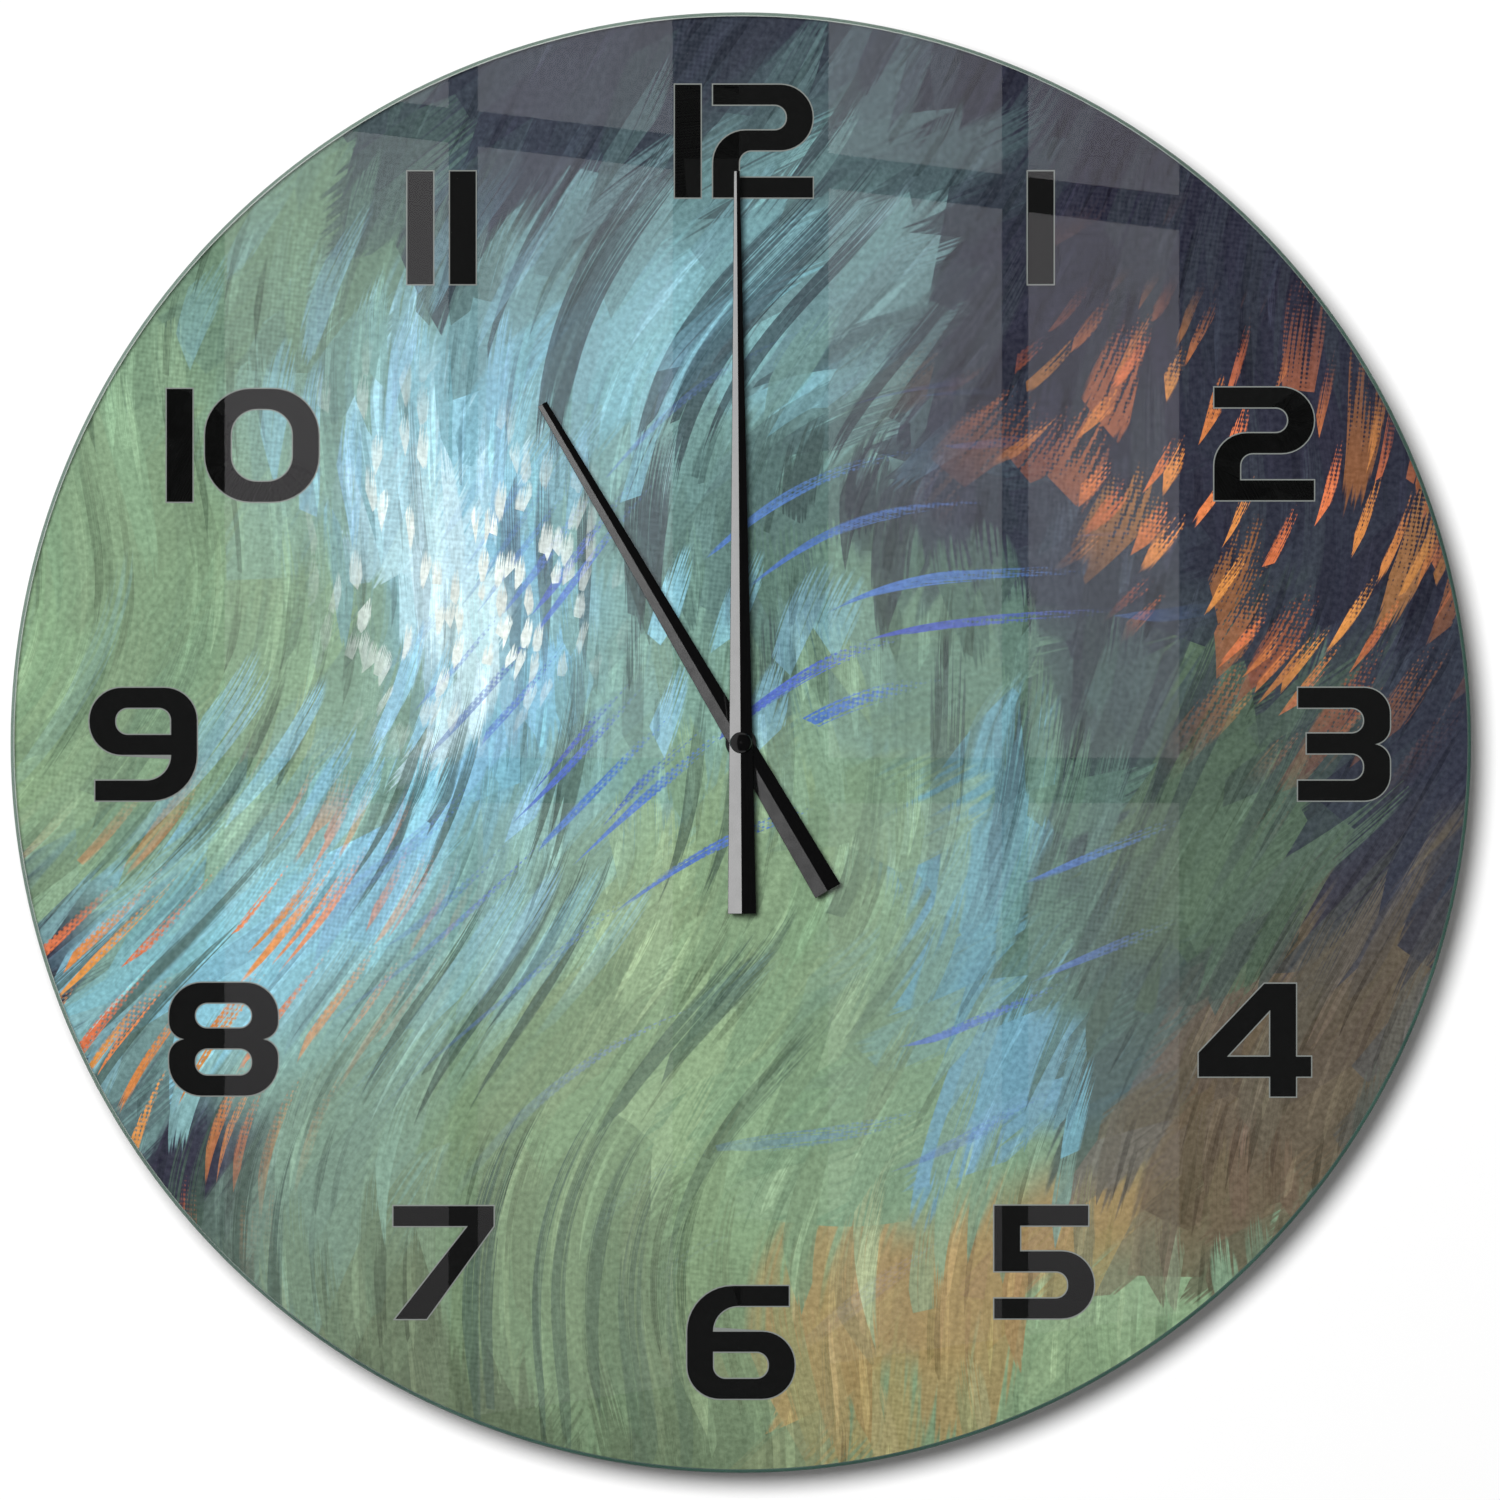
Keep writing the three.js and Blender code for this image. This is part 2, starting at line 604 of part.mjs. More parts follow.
// The cover over the gear room, with the knob's cup, three arbor bearings
// and the posts that stand on the middle plate.
function addRearCover() {
	const bottom = bayTop + RUN_GAP;
	const edge = outline([
		[-caseSide, bottom], [caseSide, bottom],
		[caseSide, caseTop, CASE_CORNER], [-caseSide, caseTop, CASE_CORNER],
	]);
	const cupRadius = KNOB_RADIUS + 2 * RUN_GAP;
	const bearingRadius = PIVOT_RADIUS + SEAT_GAP + BEARING_WALL;
	const bearingFront = pivotRear - BEARING_HEIGHT;
	const bearings = [centre, intermediateArbor, rotorArbor];
	const pivotHole = [bearingFront - PAST, coverInside - SEAT_GAP];
	const parts = [
		plate(edge, [coverInside, 0], 3),
		rod(cupRadius + CUP_WALL, [cupFront, coverInside + RUN_GAP], motionArbor, 32),
		...bearings.map((place) => rod(bearingRadius, [bearingFront, coverInside + RUN_GAP], place)),
		...postPlaces.map((place) => rod(POST_RADIUS, [plateLevel[1], coverInside + RUN_GAP], place)),
	];
	const cuts = [
		rod(cupRadius, [cupFloor, PAST], motionArbor, 32),
		rod(ARBOR_RADIUS + RUN_GAP, [cupFront - PAST, PAST], motionArbor),
		...bearings.map((place) => rod(PIVOT_RADIUS + SEAT_GAP, pivotHole, place)),
	];
	add('rear_cover', built(parts, cuts), finish(0x1a1a1c, 0.55));
}

// The plate between the hand gears and the motor. It carries the stator on two posts.
function addMiddlePlate() {
	const side = contactInside - RUN_GAP;
	const sheet = plate(rectangle(-side, side, DIVIDER_TOP + RUN_GAP, roomTop - RUN_GAP), plateLevel);
	const pinionTip = THIRD_MODULE * (SECOND_PINION_TEETH / 2 + ADDENDUM);
	const through = [plateLevel[0] - PAST, plateLevel[1] + PAST];
	const statorPosts = [-screwX, screwX].map((x) => new THREE.Vector2(x, coreZ));
	const postLevel = [plateLevel[1] - JOIN, statorLevel[0]];
	const screwLevel = [plateLevel[0] - PAST, statorLevel[0] + PAST];
	const pivots = [thirdArbor, intermediateArbor, rotorArbor];
	const posts = statorPosts.map((place) => rod(STATOR_POST_RADIUS, postLevel, place));
	const cuts = [
		rod(pinionTip + RUN_GAP, through),
		rod(ARBOR_RADIUS + RUN_GAP, through, motionArbor),
		...pivots.map((place) => rod(PIVOT_RADIUS + SEAT_GAP, through, place)),
		...statorPosts.map((place) => rod(SCREW_RADIUS + SEAT_GAP, screwLevel, place)),
	];
	add('middle_plate', built([sheet, ...posts], cuts), finish(0xd9d9d2, 0.5));
}

// The foam tape ring that holds the movement to the back of the dial.
function addAdhesivePad() {
	const side = caseSide - PAD_MARGIN;
	const shape = rectangle(-side, side, caseBottom + PAD_MARGIN, caseTop - PAD_MARGIN, CASE_CORNER);
	shape.holes = [circle(0, 0, 2 * tubeHoleRadius)];
	add('adhesive_pad', plate(shape, [padFront, caseFront], 6), finish(0xe6e6e0, 0.9));
}

// Phases of the five meshing pairs, so that every pair is in mesh at rest.
const [cannonPhase, motionWheelPhase] = meshPhases(centre, motionArbor, MOTION_WHEEL_TEETH);
const [hourPhase, motionPinionPhase] = meshPhases(centre, motionArbor, MOTION_PINION_TEETH);
const [secondPinionPhase, thirdWheelPhase] = meshPhases(centre, thirdArbor, THIRD_WHEEL_TEETH);
const [minuteGearPhase, thirdPinionPhase] = meshPhases(centre, thirdArbor, THIRD_PINION_TEETH);
const [secondWheelPhase, intermediatePinionPhase] =
	meshPhases(centre, intermediateArbor, INTERMEDIATE_PINION_TEETH);
const [intermediatePhase, rotorPhase] = meshPhases(intermediateArbor, rotorArbor, ROTOR_PINION_TEETH);

const plastic = [0xe9e6dc, 0.45];

// The hour wheel and its tube in one moulding. The tube stops at a shoulder that carries the hour hand.
function addHourWheel() {
	const wheel = plate(gearShape(HOUR_WHEEL_TEETH, hourModule, hourPhase), hourLevel);
	const tube = rod(HOUR_TUBE_RADIUS, [hourSeat, hourLevel[1]], centre, 24);
	const nose = rod(HOUR_NOSE_RADIUS, [hourNose, hourSeat + JOIN], centre, 24);
	const bore = rod(HOUR_BORE_RADIUS, [hourNose - PAST, hourLevel[1] + PAST], centre, 24);
	add('hour_wheel', built([wheel, tube, nose], [bore]), finish(...plastic));
}

// The cannon: a tube with its pinion, the clutch flange and the nose for the minute hand and nut.
function addCannonPinion() {
	const pinionLevel = [motionLevel[0] - WHEEL_GAP / 2, flangeLevel[0] + WHEEL_GAP / 2];
	const parts = [
		plate(gearShape(CANNON_TEETH, MOTION_MODULE, cannonPhase), pinionLevel),
		rod(CANNON_RADIUS, [minuteSeat, minuteGearLevel[1]], centre, 20),
		rod(CANNON_NOSE_RADIUS, [cannonFront, minuteSeat + JOIN], centre, 20),
		rod(FLANGE_RADIUS, flangeLevel, centre, 20),
	];
	const bore = rod(CANNON_BORE_RADIUS, [cannonFront - PAST, minuteGearLevel[1] + PAST]);
	add('cannon_pinion', built(parts, [bore]), finish(0xb89a5a, 0.3, 1));
}

// The dished washer that lets the hands be set while the gears behind them stand still.
function addClutchSpring() {
	const shape = new THREE.Shape().absarc(0, 0, FLANGE_RADIUS, 0, 2 * Math.PI);
	shape.holes = [circle(0, 0, CANNON_RADIUS + SEAT_GAP)];
	add('clutch_spring', plate(shape, clutchLevel, 10), finish(0xc2c4c8, 0.25, 1));
}

function addMotionWheel() {
	const pinionLevel = [hourLevel[0], motionLevel[0] + JOIN];
	const parts = [
		plate(gearShape(MOTION_WHEEL_TEETH, MOTION_MODULE, motionWheelPhase), motionLevel),
		plate(gearShape(MOTION_PINION_TEETH, hourModule, motionPinionPhase), pinionLevel),
		rod(PIVOT_RADIUS, [roomFront - PIVOT_DEPTH, hourLevel[0] + JOIN]),
		rod(ARBOR_RADIUS, [motionLevel[1] - JOIN, knobFront]),
		rod(PIVOT_RADIUS, [knobFront - JOIN, knobFront + KNOB_THICKNESS / 2]),
	];
	add('motion_wheel', built(parts), finish(...plastic), motionArbor);
}

// The thumb knob on the motion wheel's arbor, sunk in the cover.
function addSettingKnob() {
	const shape = new THREE.Shape();
	const steps = 2 * KNOB_FLUTES;
	for (let step = 0; step < steps; step += 1) {
		const angle = step * 2 * Math.PI / steps;
		const radius = KNOB_RADIUS - (step % 2) * KNOB_FLUTE_DEPTH;
		shape[step === 0 ? 'moveTo' : 'lineTo'](radius * Math.cos(angle), radius * Math.sin(angle));
	}
	shape.closePath();
	const hole = rod(PIVOT_RADIUS + SEAT_GAP, [knobFront - PAST, knobFront + KNOB_THICKNESS / 2 + SEAT_GAP]);
	const knob = built([plate(shape, [knobFront, knobRear])], [hole]);
	add('setting_knob', knob, finish(0x2a2a2c, 0.5), motionArbor);
}

function addMinuteGear() {
	const wheel = plate(gearShape(MINUTE_GEAR_TEETH, minuteGearModule, minuteGearPhase), minuteGearLevel);
	const through = [minuteGearLevel[0] - PAST, minuteGearLevel[1] + PAST];
	const bore = rod(CANNON_RADIUS + SEAT_GAP, through, centre, 16);
	add('minute_gear', built([wheel], [bore]), finish(...plastic));
}

function addThirdWheel() {
	const pinionLevel = [minuteGearLevel[0] - WHEEL_GAP / 2, thirdLevel[0] + JOIN];
	const shoulder = roomFront + RUN_GAP;
	const parts = [
		plate(gearShape(THIRD_WHEEL_TEETH, THIRD_MODULE, thirdWheelPhase), thirdLevel),
		plate(gearShape(THIRD_PINION_TEETH, minuteGearModule, thirdPinionPhase), pinionLevel),
		rod(ARBOR_RADIUS, [shoulder, pinionLevel[0] + JOIN]),
		rod(PIVOT_RADIUS, [roomFront - PIVOT_DEPTH, shoulder + JOIN]),
		rod(PIVOT_RADIUS, [thirdLevel[1] - JOIN, plateLevel[1]]),
	];
	add('third_wheel', built(parts), finish(...plastic), thirdArbor);
}

// The second wheel. Its arbor runs forward through the cannon and ends under the cap nut.
function addSecondWheel() {
	const pinionLevel = [thirdLevel[0] - WHEEL_GAP / 4, secondLevel[0] + JOIN];
	const parts = [
		plate(gearShape(SECOND_WHEEL_TEETH, SECOND_MODULE, secondWheelPhase), secondLevel),
		plate(gearShape(SECOND_PINION_TEETH, THIRD_MODULE, secondPinionPhase), pinionLevel),
		rod(PIVOT_RADIUS, [cannonFront + 2 * RUN_GAP, pivotRear]),
	];
	add('second_wheel', built(parts), finish(...plastic));
}

function addIntermediateWheel() {
	const pinionLevel = [secondLevel[0] - WHEEL_GAP, secondLevel[1] + WHEEL_GAP];
	const parts = [
		plate(gearShape(INTERMEDIATE_WHEEL_TEETH, ROTOR_MODULE, intermediatePhase), intermediateLevel),
		plate(gearShape(INTERMEDIATE_PINION_TEETH, SECOND_MODULE, intermediatePinionPhase), pinionLevel),
		rod(PIVOT_RADIUS, [plateLevel[0], pivotRear]),
	];
	add('intermediate_wheel', built(parts), finish(...plastic), intermediateArbor);
}

// The rotor: a ring magnet on a moulded arbor with a six-leaf pinion.
function addRotor() {
	const pinionLevel = [rotorCollarLevel[1] - JOIN, intermediateLevel[1] + WHEEL_GAP];
	const parts = [
		rod(MAGNET_RADIUS - PIVOT_RADIUS, rotorCollarLevel),
		plate(gearShape(ROTOR_PINION_TEETH, ROTOR_MODULE, rotorPhase), pinionLevel),
		rod(PIVOT_RADIUS, [plateLevel[0], pivotRear]),
	];
	add('rotor_pinion', built(parts), finish(...plastic), rotorArbor);
	const ring = new THREE.Shape().absarc(0, 0, MAGNET_RADIUS, 0, 2 * Math.PI);
	ring.holes = [circle(0, 0, PIVOT_RADIUS + SEAT_GAP)];
	add('rotor_magnet', plate(ring, magnetLevel, 8), finish(0x3d3d40, 0.5, 0.6), rotorArbor);
}

// The stator lamination, the coil core on its two legs and the screws through both into the middle plate.
function addStator() {
	const side = CORE_LENGTH / 2;
	const rim = MAGNET_RADIUS + STATOR_GAP + STATOR_RIM;
	const foot = rotorArbor.y - rim;
	const shoulderTop = rotorArbor.y + rim;
	const legTop = coreZ + CORE_WIDTH / 2;
	const shape = outline([
		[-rim, foot], [rim, foot], [side, foot + LEG_WIDTH / 2], [side, legTop], [side - LEG_WIDTH, legTop],
		[side - LEG_WIDTH, shoulderTop], [LEG_WIDTH - side, shoulderTop], [LEG_WIDTH - side, legTop],
		[-side, legTop], [-side, foot + LEG_WIDTH / 2],
	]);
	const screwHoles = [-screwX, screwX].map((x) => circle(x, coreZ, SCREW_RADIUS + SEAT_GAP));
	shape.holes = [circle(rotorArbor.x, rotorArbor.y, MAGNET_RADIUS + STATOR_GAP), ...screwHoles];
	const iron = [0x8c8f94, 0.4, 1];
	add('stator', plate(shape, statorLevel, 8), finish(...iron));
	const core = rectangle(-side, side, coreZ - CORE_WIDTH / 2, legTop);
	core.holes = screwHoles;
	add('coil_core', plate(core, coreLevel, 8), finish(...iron));
}

function addCoreScrews() {
	[['core_screw_left', -screwX], ['core_screw_right', screwX]].forEach(([name, x]) => {
		const headRear = coreLevel[1] + SCREW_HEAD_HEIGHT;
		const head = rod(SCREW_HEAD_RADIUS, [coreLevel[1], headRear]);
		const shank = rod(SCREW_RADIUS, [plateLevel[0] + RUN_GAP, coreLevel[1] + JOIN]);
		const slotSide = SCREW_HEAD_RADIUS + PAST;
		const slot = block([-slotSide, slotSide], [headRear - SCREW_HEAD_HEIGHT / 2, headRear + PAST],
			[-SCREW_SLOT_WIDTH / 2, SCREW_SLOT_WIDTH / 2]);
		add(name, built([head, shank], [slot]), finish(0xc8cacd, 0.3, 1), new THREE.Vector2(x, coreZ));
	});
}

// The coil lies along X. Each sleeve is a box with a slot through it for what is inside.
function sleeve(length, outer, inner) {
	const box = ({ y, z }, half) => block([-half, half], [coreY - y, coreY + y], [coreZ - z, coreZ + z]);
	return { whole: box(outer, length / 2), slot: box(inner, length / 2 + PAST) };
}

function addCoil() {
	const hole = { y: LAMINATION / 2 + WHEEL_GAP, z: CORE_WIDTH / 2 + WHEEL_GAP };
	const barrel = { y: hole.y + BOBBIN_WALL, z: hole.z + BOBBIN_WALL };
	const wound = { y: barrel.y + WINDING_THICKNESS, z: barrel.z + WINDING_THICKNESS };
	const rim = { y: wound.y + WHEEL_GAP, z: wound.z + WHEEL_GAP };
	const tube = sleeve(bobbinLength, barrel, hole);
	const flange = sleeve(BOBBIN_FLANGE, rim, hole).whole;
	const flangeX = (bobbinLength - BOBBIN_FLANGE) / 2;
	const flanges = [-flangeX, flangeX].map((x) => flange.clone().translate(x, 0, 0));
	add('coil_bobbin', built([tube.whole, ...flanges], [tube.slot]), finish(0xf1efe6, 0.5));
	const winding = sleeve(bobbinLength - 2 * BOBBIN_FLANGE, wound, barrel);
	add('coil_winding', built([winding.whole], [winding.slot]), finish(0xa8542a, 0.35, 1));
}

// The circuit board behind the coil, with the chip under its drop of resin and the crystal's can.
function addCircuit() {
	const side = contactInside + CONTACT_THICKNESS / 2;
	const sheet = rectangle(-side, side, boardBottom, boardBottom + BOARD_HEIGHT);
	add('circuit_board', plate(sheet, boardLevel), finish(0x2f5b3a, 0.5));
	const chip = [
		[0, boardLevel[0]], [CHIP_RADIUS, boardLevel[0]],
		[CHIP_SHOULDER_RADIUS, boardLevel[0] - CHIP_SHOULDER_HEIGHT], [0, boardLevel[0] - CHIP_HEIGHT],
	];
	const middle = boardBottom + BOARD_HEIGHT / 2;
	const chipX = -(CORE_LENGTH / 2 + CORE_END_GAP + CHIP_RADIUS);
	const crystalX = CORE_LENGTH / 2 + CORE_END_GAP + CRYSTAL_LENGTH / 2;
	add('timing_chip', turned(chip, 16), finish(0x101012, 0.35), new THREE.Vector2(chipX, middle));
	const can = new THREE.CylinderGeometry(CRYSTAL_RADIUS, CRYSTAL_RADIUS, CRYSTAL_LENGTH, 12);
	can.rotateZ(Math.PI / 2).translate(0, boardLevel[0] - CRYSTAL_RADIUS - RUN_GAP, 0);
	add('quartz_crystal', can, finish(0xd0d2d6, 0.2, 1), new THREE.Vector2(crystalX, middle));
}

// The two contact strips along the side walls, from the battery's ends up to the circuit board.
function contactStrip(side) {
	const x = [contactInside, roomX].map((value) => side * value).sort((a, b) => a - b);
	const leadRear = boardLevel[0];
	const leadTop = boardBottom + BOARD_HEIGHT / 2;
	const pad = block(x, [leadRear - CONTACT_WIDTH, leadRear], [batteryZ - CONTACT_WIDTH / 2, DIVIDER_TOP]);
	const lead = block(x, [leadRear - CONTACT_LEAD, leadRear], [DIVIDER_TOP - JOIN, leadTop]);
	return [pad, lead];
}

function addContacts() {
	const steel = [0xcfd2d6, 0.25, 1];
	add('positive_contact', built(contactStrip(1)), finish(...steel));
	const root = -contactInside - JOIN;
	const crest = -contactInside + LEAF_REACH;
	const bend = CONTACT_WIDTH / 2;
	const padY = boardLevel[0] - bend;
	const vee = new THREE.Shape([
		[root, padY - bend], [crest, padY], [root, padY + bend], [root, padY + bend - CONTACT_THICKNESS],
		[crest - CONTACT_THICKNESS, padY], [root, padY - bend + CONTACT_THICKNESS],
	].map(([x, y]) => new THREE.Vector2(x, y)));
	const leaf = new THREE.ExtrudeGeometry(vee, { depth: LEAF_WIDTH, bevelEnabled: false })
		.translate(0, 0, batteryZ - LEAF_WIDTH / 2);
	add('negative_contact', built([...contactStrip(-1), leaf]), finish(...steel));
}

function addBattery() {
	const shoulder = batteryRight - BATTERY_NUB;
	const profile = [
		[0, batteryLeft], [BATTERY_RADIUS - BATTERY_CHAMFER, batteryLeft],
		[BATTERY_RADIUS, batteryLeft + BATTERY_CHAMFER], [BATTERY_RADIUS, shoulder - BATTERY_CHAMFER],
		[BATTERY_RADIUS - BATTERY_CHAMFER, shoulder], [BATTERY_NUB_RADIUS, shoulder],
		[BATTERY_NUB_RADIUS, batteryRight], [0, batteryRight],
	];
	const cell = turned(profile);
	cell.rotateZ(-Math.PI / 2).translate(0, batteryY, 0);
	add('battery', cell, finish(0x5b6068, 0.35, 0.7), new THREE.Vector2(0, batteryZ));
}

// A hand is a sheet folded along its middle, tapering straight from its tail to its tip.
function blade(seat, tip, tail, tipWidth, tailWidth) {
	const ring = (z, width) => {
		const half = width / 2;
		const rise = half * ROOF_SLOPE;
		const corners = [
			[-half, 0], [-half, -HAND_SHEET], [0, -HAND_SHEET - rise], [half, -HAND_SHEET], [half, 0], [0, -rise],
		];
		return corners.map(([x, lift]) => [x, seat + lift, z]);
	};
	const positions = [...ring(-tail, tailWidth), ...ring(tip, tipWidth)].flat();
	const sides = 6;
	const faces = [];
	for (let i = 0; i < sides; i += 1) {
		const next = (i + 1) % sides;
		faces.push(i, next, i + sides, next, next + sides, i + sides);
	}
	for (const [a, b, c, d] of [[0, 1, 2, 5], [5, 2, 3, 4]]) {
		faces.push(a, c, b, a, d, c);
		faces.push(a + sides, b + sides, c + sides, a + sides, c + sides, d + sides);
	}
	const geometry = new THREE.BufferGeometry();
	geometry.setAttribute('position', new THREE.Float32BufferAttribute(positions, 3));
	geometry.setIndex(faces);
	return geometry;
}

function addHands() {
	const black = [0x1b1b1d, 0.35, 0.9];
	const hourParts = [
		blade(hourSeat, HOUR_TIP, HOUR_TAIL, HOUR_TIP_WIDTH, HOUR_TAIL_WIDTH),
		rod(HOUR_HUB_RADIUS, [hourNose, hourSeat], centre, 32),
	];
	const hourBore = rod(HOUR_NOSE_RADIUS + SEAT_GAP, [nutSeat, hourSeat + PAST], centre, 24);
	const hour = add('hour_hand', built(hourParts, [hourBore]), finish(...black));
	hour.rotation.y = THREE.MathUtils.degToRad(HOUR_HAND_DEGREES);
	const minuteParts = [
		blade(minuteSeat, DISC_RADIUS - MINUTE_TIP_INSET, MINUTE_TAIL, MINUTE_TIP_WIDTH, MINUTE_TAIL_WIDTH),
		rod(MINUTE_HUB_RADIUS, [nutSeat, minuteSeat], centre, 32),
	];
	const minuteCuts = [
		rod(MINUTE_HUB_RADIUS, [nutFront, nutSeat], centre, 32),
		rod(CANNON_NOSE_RADIUS + SEAT_GAP, [nutFront, minuteSeat + PAST], centre, 24),
	];
	const minute = add('minute_hand', built(minuteParts, minuteCuts), finish(...black));
	minute.rotation.y = THREE.MathUtils.degToRad(MINUTE_HAND_DEGREES);
}

// The domed cap nut that holds the minute hand, with a blind hole for the cannon's nose.
function addCapNut() {
	const holeRadius = CANNON_NOSE_RADIUS + SEAT_GAP;
	const domeRear = nutSeat - NUT_HEIGHT / 2;
	const dome = [];
	const steps = 4;
	for (let step = 0; step <= steps; step += 1) {
		const angle = step / steps * Math.PI / 2;
		dome.push([NUT_RADIUS * Math.cos(angle), domeRear - NUT_HEIGHT / 2 * Math.sin(angle)]);
	}
	dome[steps][0] = 0;
	const floor = nutFront + NUT_WALL;
	const profile = [[holeRadius, nutSeat], [NUT_RADIUS, nutSeat], ...dome, [0, floor], [holeRadius, floor]];
	add('cap_nut', turned(profile), finish(0x111112, 0.3, 0.5));
}

// The stamped hanger: two glued flanges and a raised bridge with a keyhole for the wall screw.
function addHanger() {
	const side = HANGER_WIDTH / 2;
	const bridge = HANGER_BRIDGE / 2;
	const base = caseFront;
	const crown = base + HANGER_RISE + HANGER_SHEET;
	const section = new THREE.Shape([
		[-side, base], [HANGER_SHEET - bridge, base], [HANGER_SHEET - bridge, crown - HANGER_SHEET],
		[bridge - HANGER_SHEET, crown - HANGER_SHEET], [bridge - HANGER_SHEET, base], [side, base],
		[side, base + HANGER_SHEET], [bridge, base + HANGER_SHEET], [bridge, crown], [-bridge, crown],
		[-bridge, base + HANGER_SHEET], [-side, base + HANGER_SHEET],
	].map(([x, y]) => new THREE.Vector2(x, y)));
	const strip = new THREE.ExtrudeGeometry(section, { depth: HANGER_HEIGHT, bevelEnabled: false })
		.translate(0, 0, -HANGER_HEIGHT / 2);
	const through = [crown - 2 * HANGER_SHEET, crown + HANGER_SHEET];
	const entry = new THREE.Vector2(0, -SLOT_LENGTH / 2);
	const rest = new THREE.Vector2(0, SLOT_LENGTH / 2);
	const keyhole = [
		rod(KEYHOLE_RADIUS, through, entry, 24),
		rod(SLOT_RADIUS, through, rest, 16),
		block([-SLOT_RADIUS, SLOT_RADIUS], through, [entry.y, rest.y]),
	];
	const place = new THREE.Vector2(0, DISC_RADIUS - HANGER_INSET);
	add('hanger_plate', built([strip], keyhole), finish(0xb9bcc0, 0.35, 1), place);
	const pad = rectangle(-side, side, -HANGER_HEIGHT / 2, HANGER_HEIGHT / 2);
	add('hanger_pad', plate(pad, [padFront, caseFront]), finish(0xe6e6e0, 0.9), place);
}

// The two rubber spacers that hold the lower half of the disc off the wall.
function addSpacers() {
	const profile = [
		[0, padFront], [SPACER_BASE_RADIUS, padFront], [SPACER_BASE_RADIUS, padFront + SPACER_COLLAR],
		[SPACER_TIP_RADIUS, 0], [0, 0],
	];
	[['left', -1], ['right', 1]].forEach(([name, side]) => {
		const place = away(centre, side * SPACER_DEGREES - 90, DISC_RADIUS - SPACER_INSET);
		add(`wall_spacer_${name}`, turned(profile), finish(0x222222, 0.8), place);
	});
}

addGlass();
addPrint();
addNumerals();
addAdhesivePad();
addFrontCase();
addRearCover();
addMiddlePlate();
addHourWheel();
addCannonPinion();
addClutchSpring();
addMotionWheel();
addSettingKnob();
addMinuteGear();
addThirdWheel();
addSecondWheel();
addIntermediateWheel();
addRotor();
addStator();
addCoreScrews();
addCoil();
addCircuit();
addContacts();
addBattery();
addHands();
addCapNut();
addHanger();
addSpacers();

export default clock;
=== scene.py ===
"""The looks of a round glass wall clock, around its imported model.

Metres, with +Z up. The dial faces -Y, the wall is the plane y = 0, and the hands turn about the Y axis.
"""

import math
from math import cos, radians, sin

import bmesh
import bpy
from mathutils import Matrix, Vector
from mathutils.geometry import delaunay_2d_cdt


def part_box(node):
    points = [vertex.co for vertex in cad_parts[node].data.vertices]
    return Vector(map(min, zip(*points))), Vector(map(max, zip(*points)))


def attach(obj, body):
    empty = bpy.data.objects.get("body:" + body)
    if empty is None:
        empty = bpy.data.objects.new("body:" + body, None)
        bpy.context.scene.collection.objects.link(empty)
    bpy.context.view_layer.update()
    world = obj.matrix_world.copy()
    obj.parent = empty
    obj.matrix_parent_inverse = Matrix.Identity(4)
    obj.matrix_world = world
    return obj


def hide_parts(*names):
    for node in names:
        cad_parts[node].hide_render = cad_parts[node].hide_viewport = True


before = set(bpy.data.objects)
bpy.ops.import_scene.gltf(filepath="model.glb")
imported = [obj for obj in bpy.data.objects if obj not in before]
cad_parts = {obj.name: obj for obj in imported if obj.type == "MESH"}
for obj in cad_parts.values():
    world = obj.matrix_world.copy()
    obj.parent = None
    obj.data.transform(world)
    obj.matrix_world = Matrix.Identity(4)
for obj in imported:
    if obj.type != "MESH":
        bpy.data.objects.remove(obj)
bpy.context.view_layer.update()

scene = bpy.context.scene
MM = 0.001
SAME_PLACE = 0.001 * MM
SHARP_DEGREES = 30.0
DRESSED_EDGE = 0.05 * MM

# Glass and dial

ROUND_SIDES = 256
GLASS_ARRIS = 0.5 * MM
PRINT_RINGS = 5
NUMERAL_RADIUS = 123.3 * MM
NUMERAL_HEIGHT = 23.2
NUMERAL_OUTLINE = 0.26
DIGIT_GAP = 2.55
ELEVEN_GAP = 3.45

# How far right and up of its hour's place on the ring each numeral is printed, in millimetres
NUMERAL_SHIFTS = {1: (0, -0.9), 2: (0.8, -0.2), 3: (0.7, -0.3), 4: (-1.1, 0.5), 5: (0.7, 0), 6: (0, 0),
                  7: (0.5, -0.1), 8: (0.4, 0.7), 9: (0.4, -0.3), 10: (4.35, -0.5), 11: (0.1, -0.9),
                  12: (0.6, 0.4)}

# Hands and cap nut. Lengths are in millimetres, and the widths are those of tip and tail.

HOUR_HAND = dict(seat=22.3, hub_front=22.8, tip=80.6, tail=35.3, widths=(2.1, 5.9), hub=3.1, bore=2.35,
                 degrees=-30.4)
MINUTE_HAND = dict(seat=24.0, hub_front=24.5, tip=117.3, tail=35.1, widths=(1.2, 5.85), hub=2.3, bore=1.4,
                   degrees=-0.4)
HAND_SHEET = 0.4
ROOF_SLOPE = 0.36
HAND_EDGE = 0.08 * MM
HAND_SHARP_DEGREES = 6.0
NUT_EDGE = 0.12 * MM
NUT_FRONT = 0.6 * MM

# Battery, knob, spacers and hanger on the back, in millimetres. Nub and bore have a radius and a length.

CELL_NUB = (2.7, 1.0)
CELL_CRIMP = 0.9
CELL_BAND = 11.0
KNOB_BORE = (0.78, 1.4)
KNOB_FLUTES = 24
KNOB_FLUTE_DEPTH = 0.35
SPACER_COLLAR = 3.0
SPACER_TIP_RADIUS = 5.5
HANGER_SHEET = 1.0
HANGER_BRIDGE = 26.0
KEYHOLE_RADIUS = 4.5
KEYHOLE_SLOT = 2.3
KEYHOLE_SPREAD = 4.0

# Camera and light

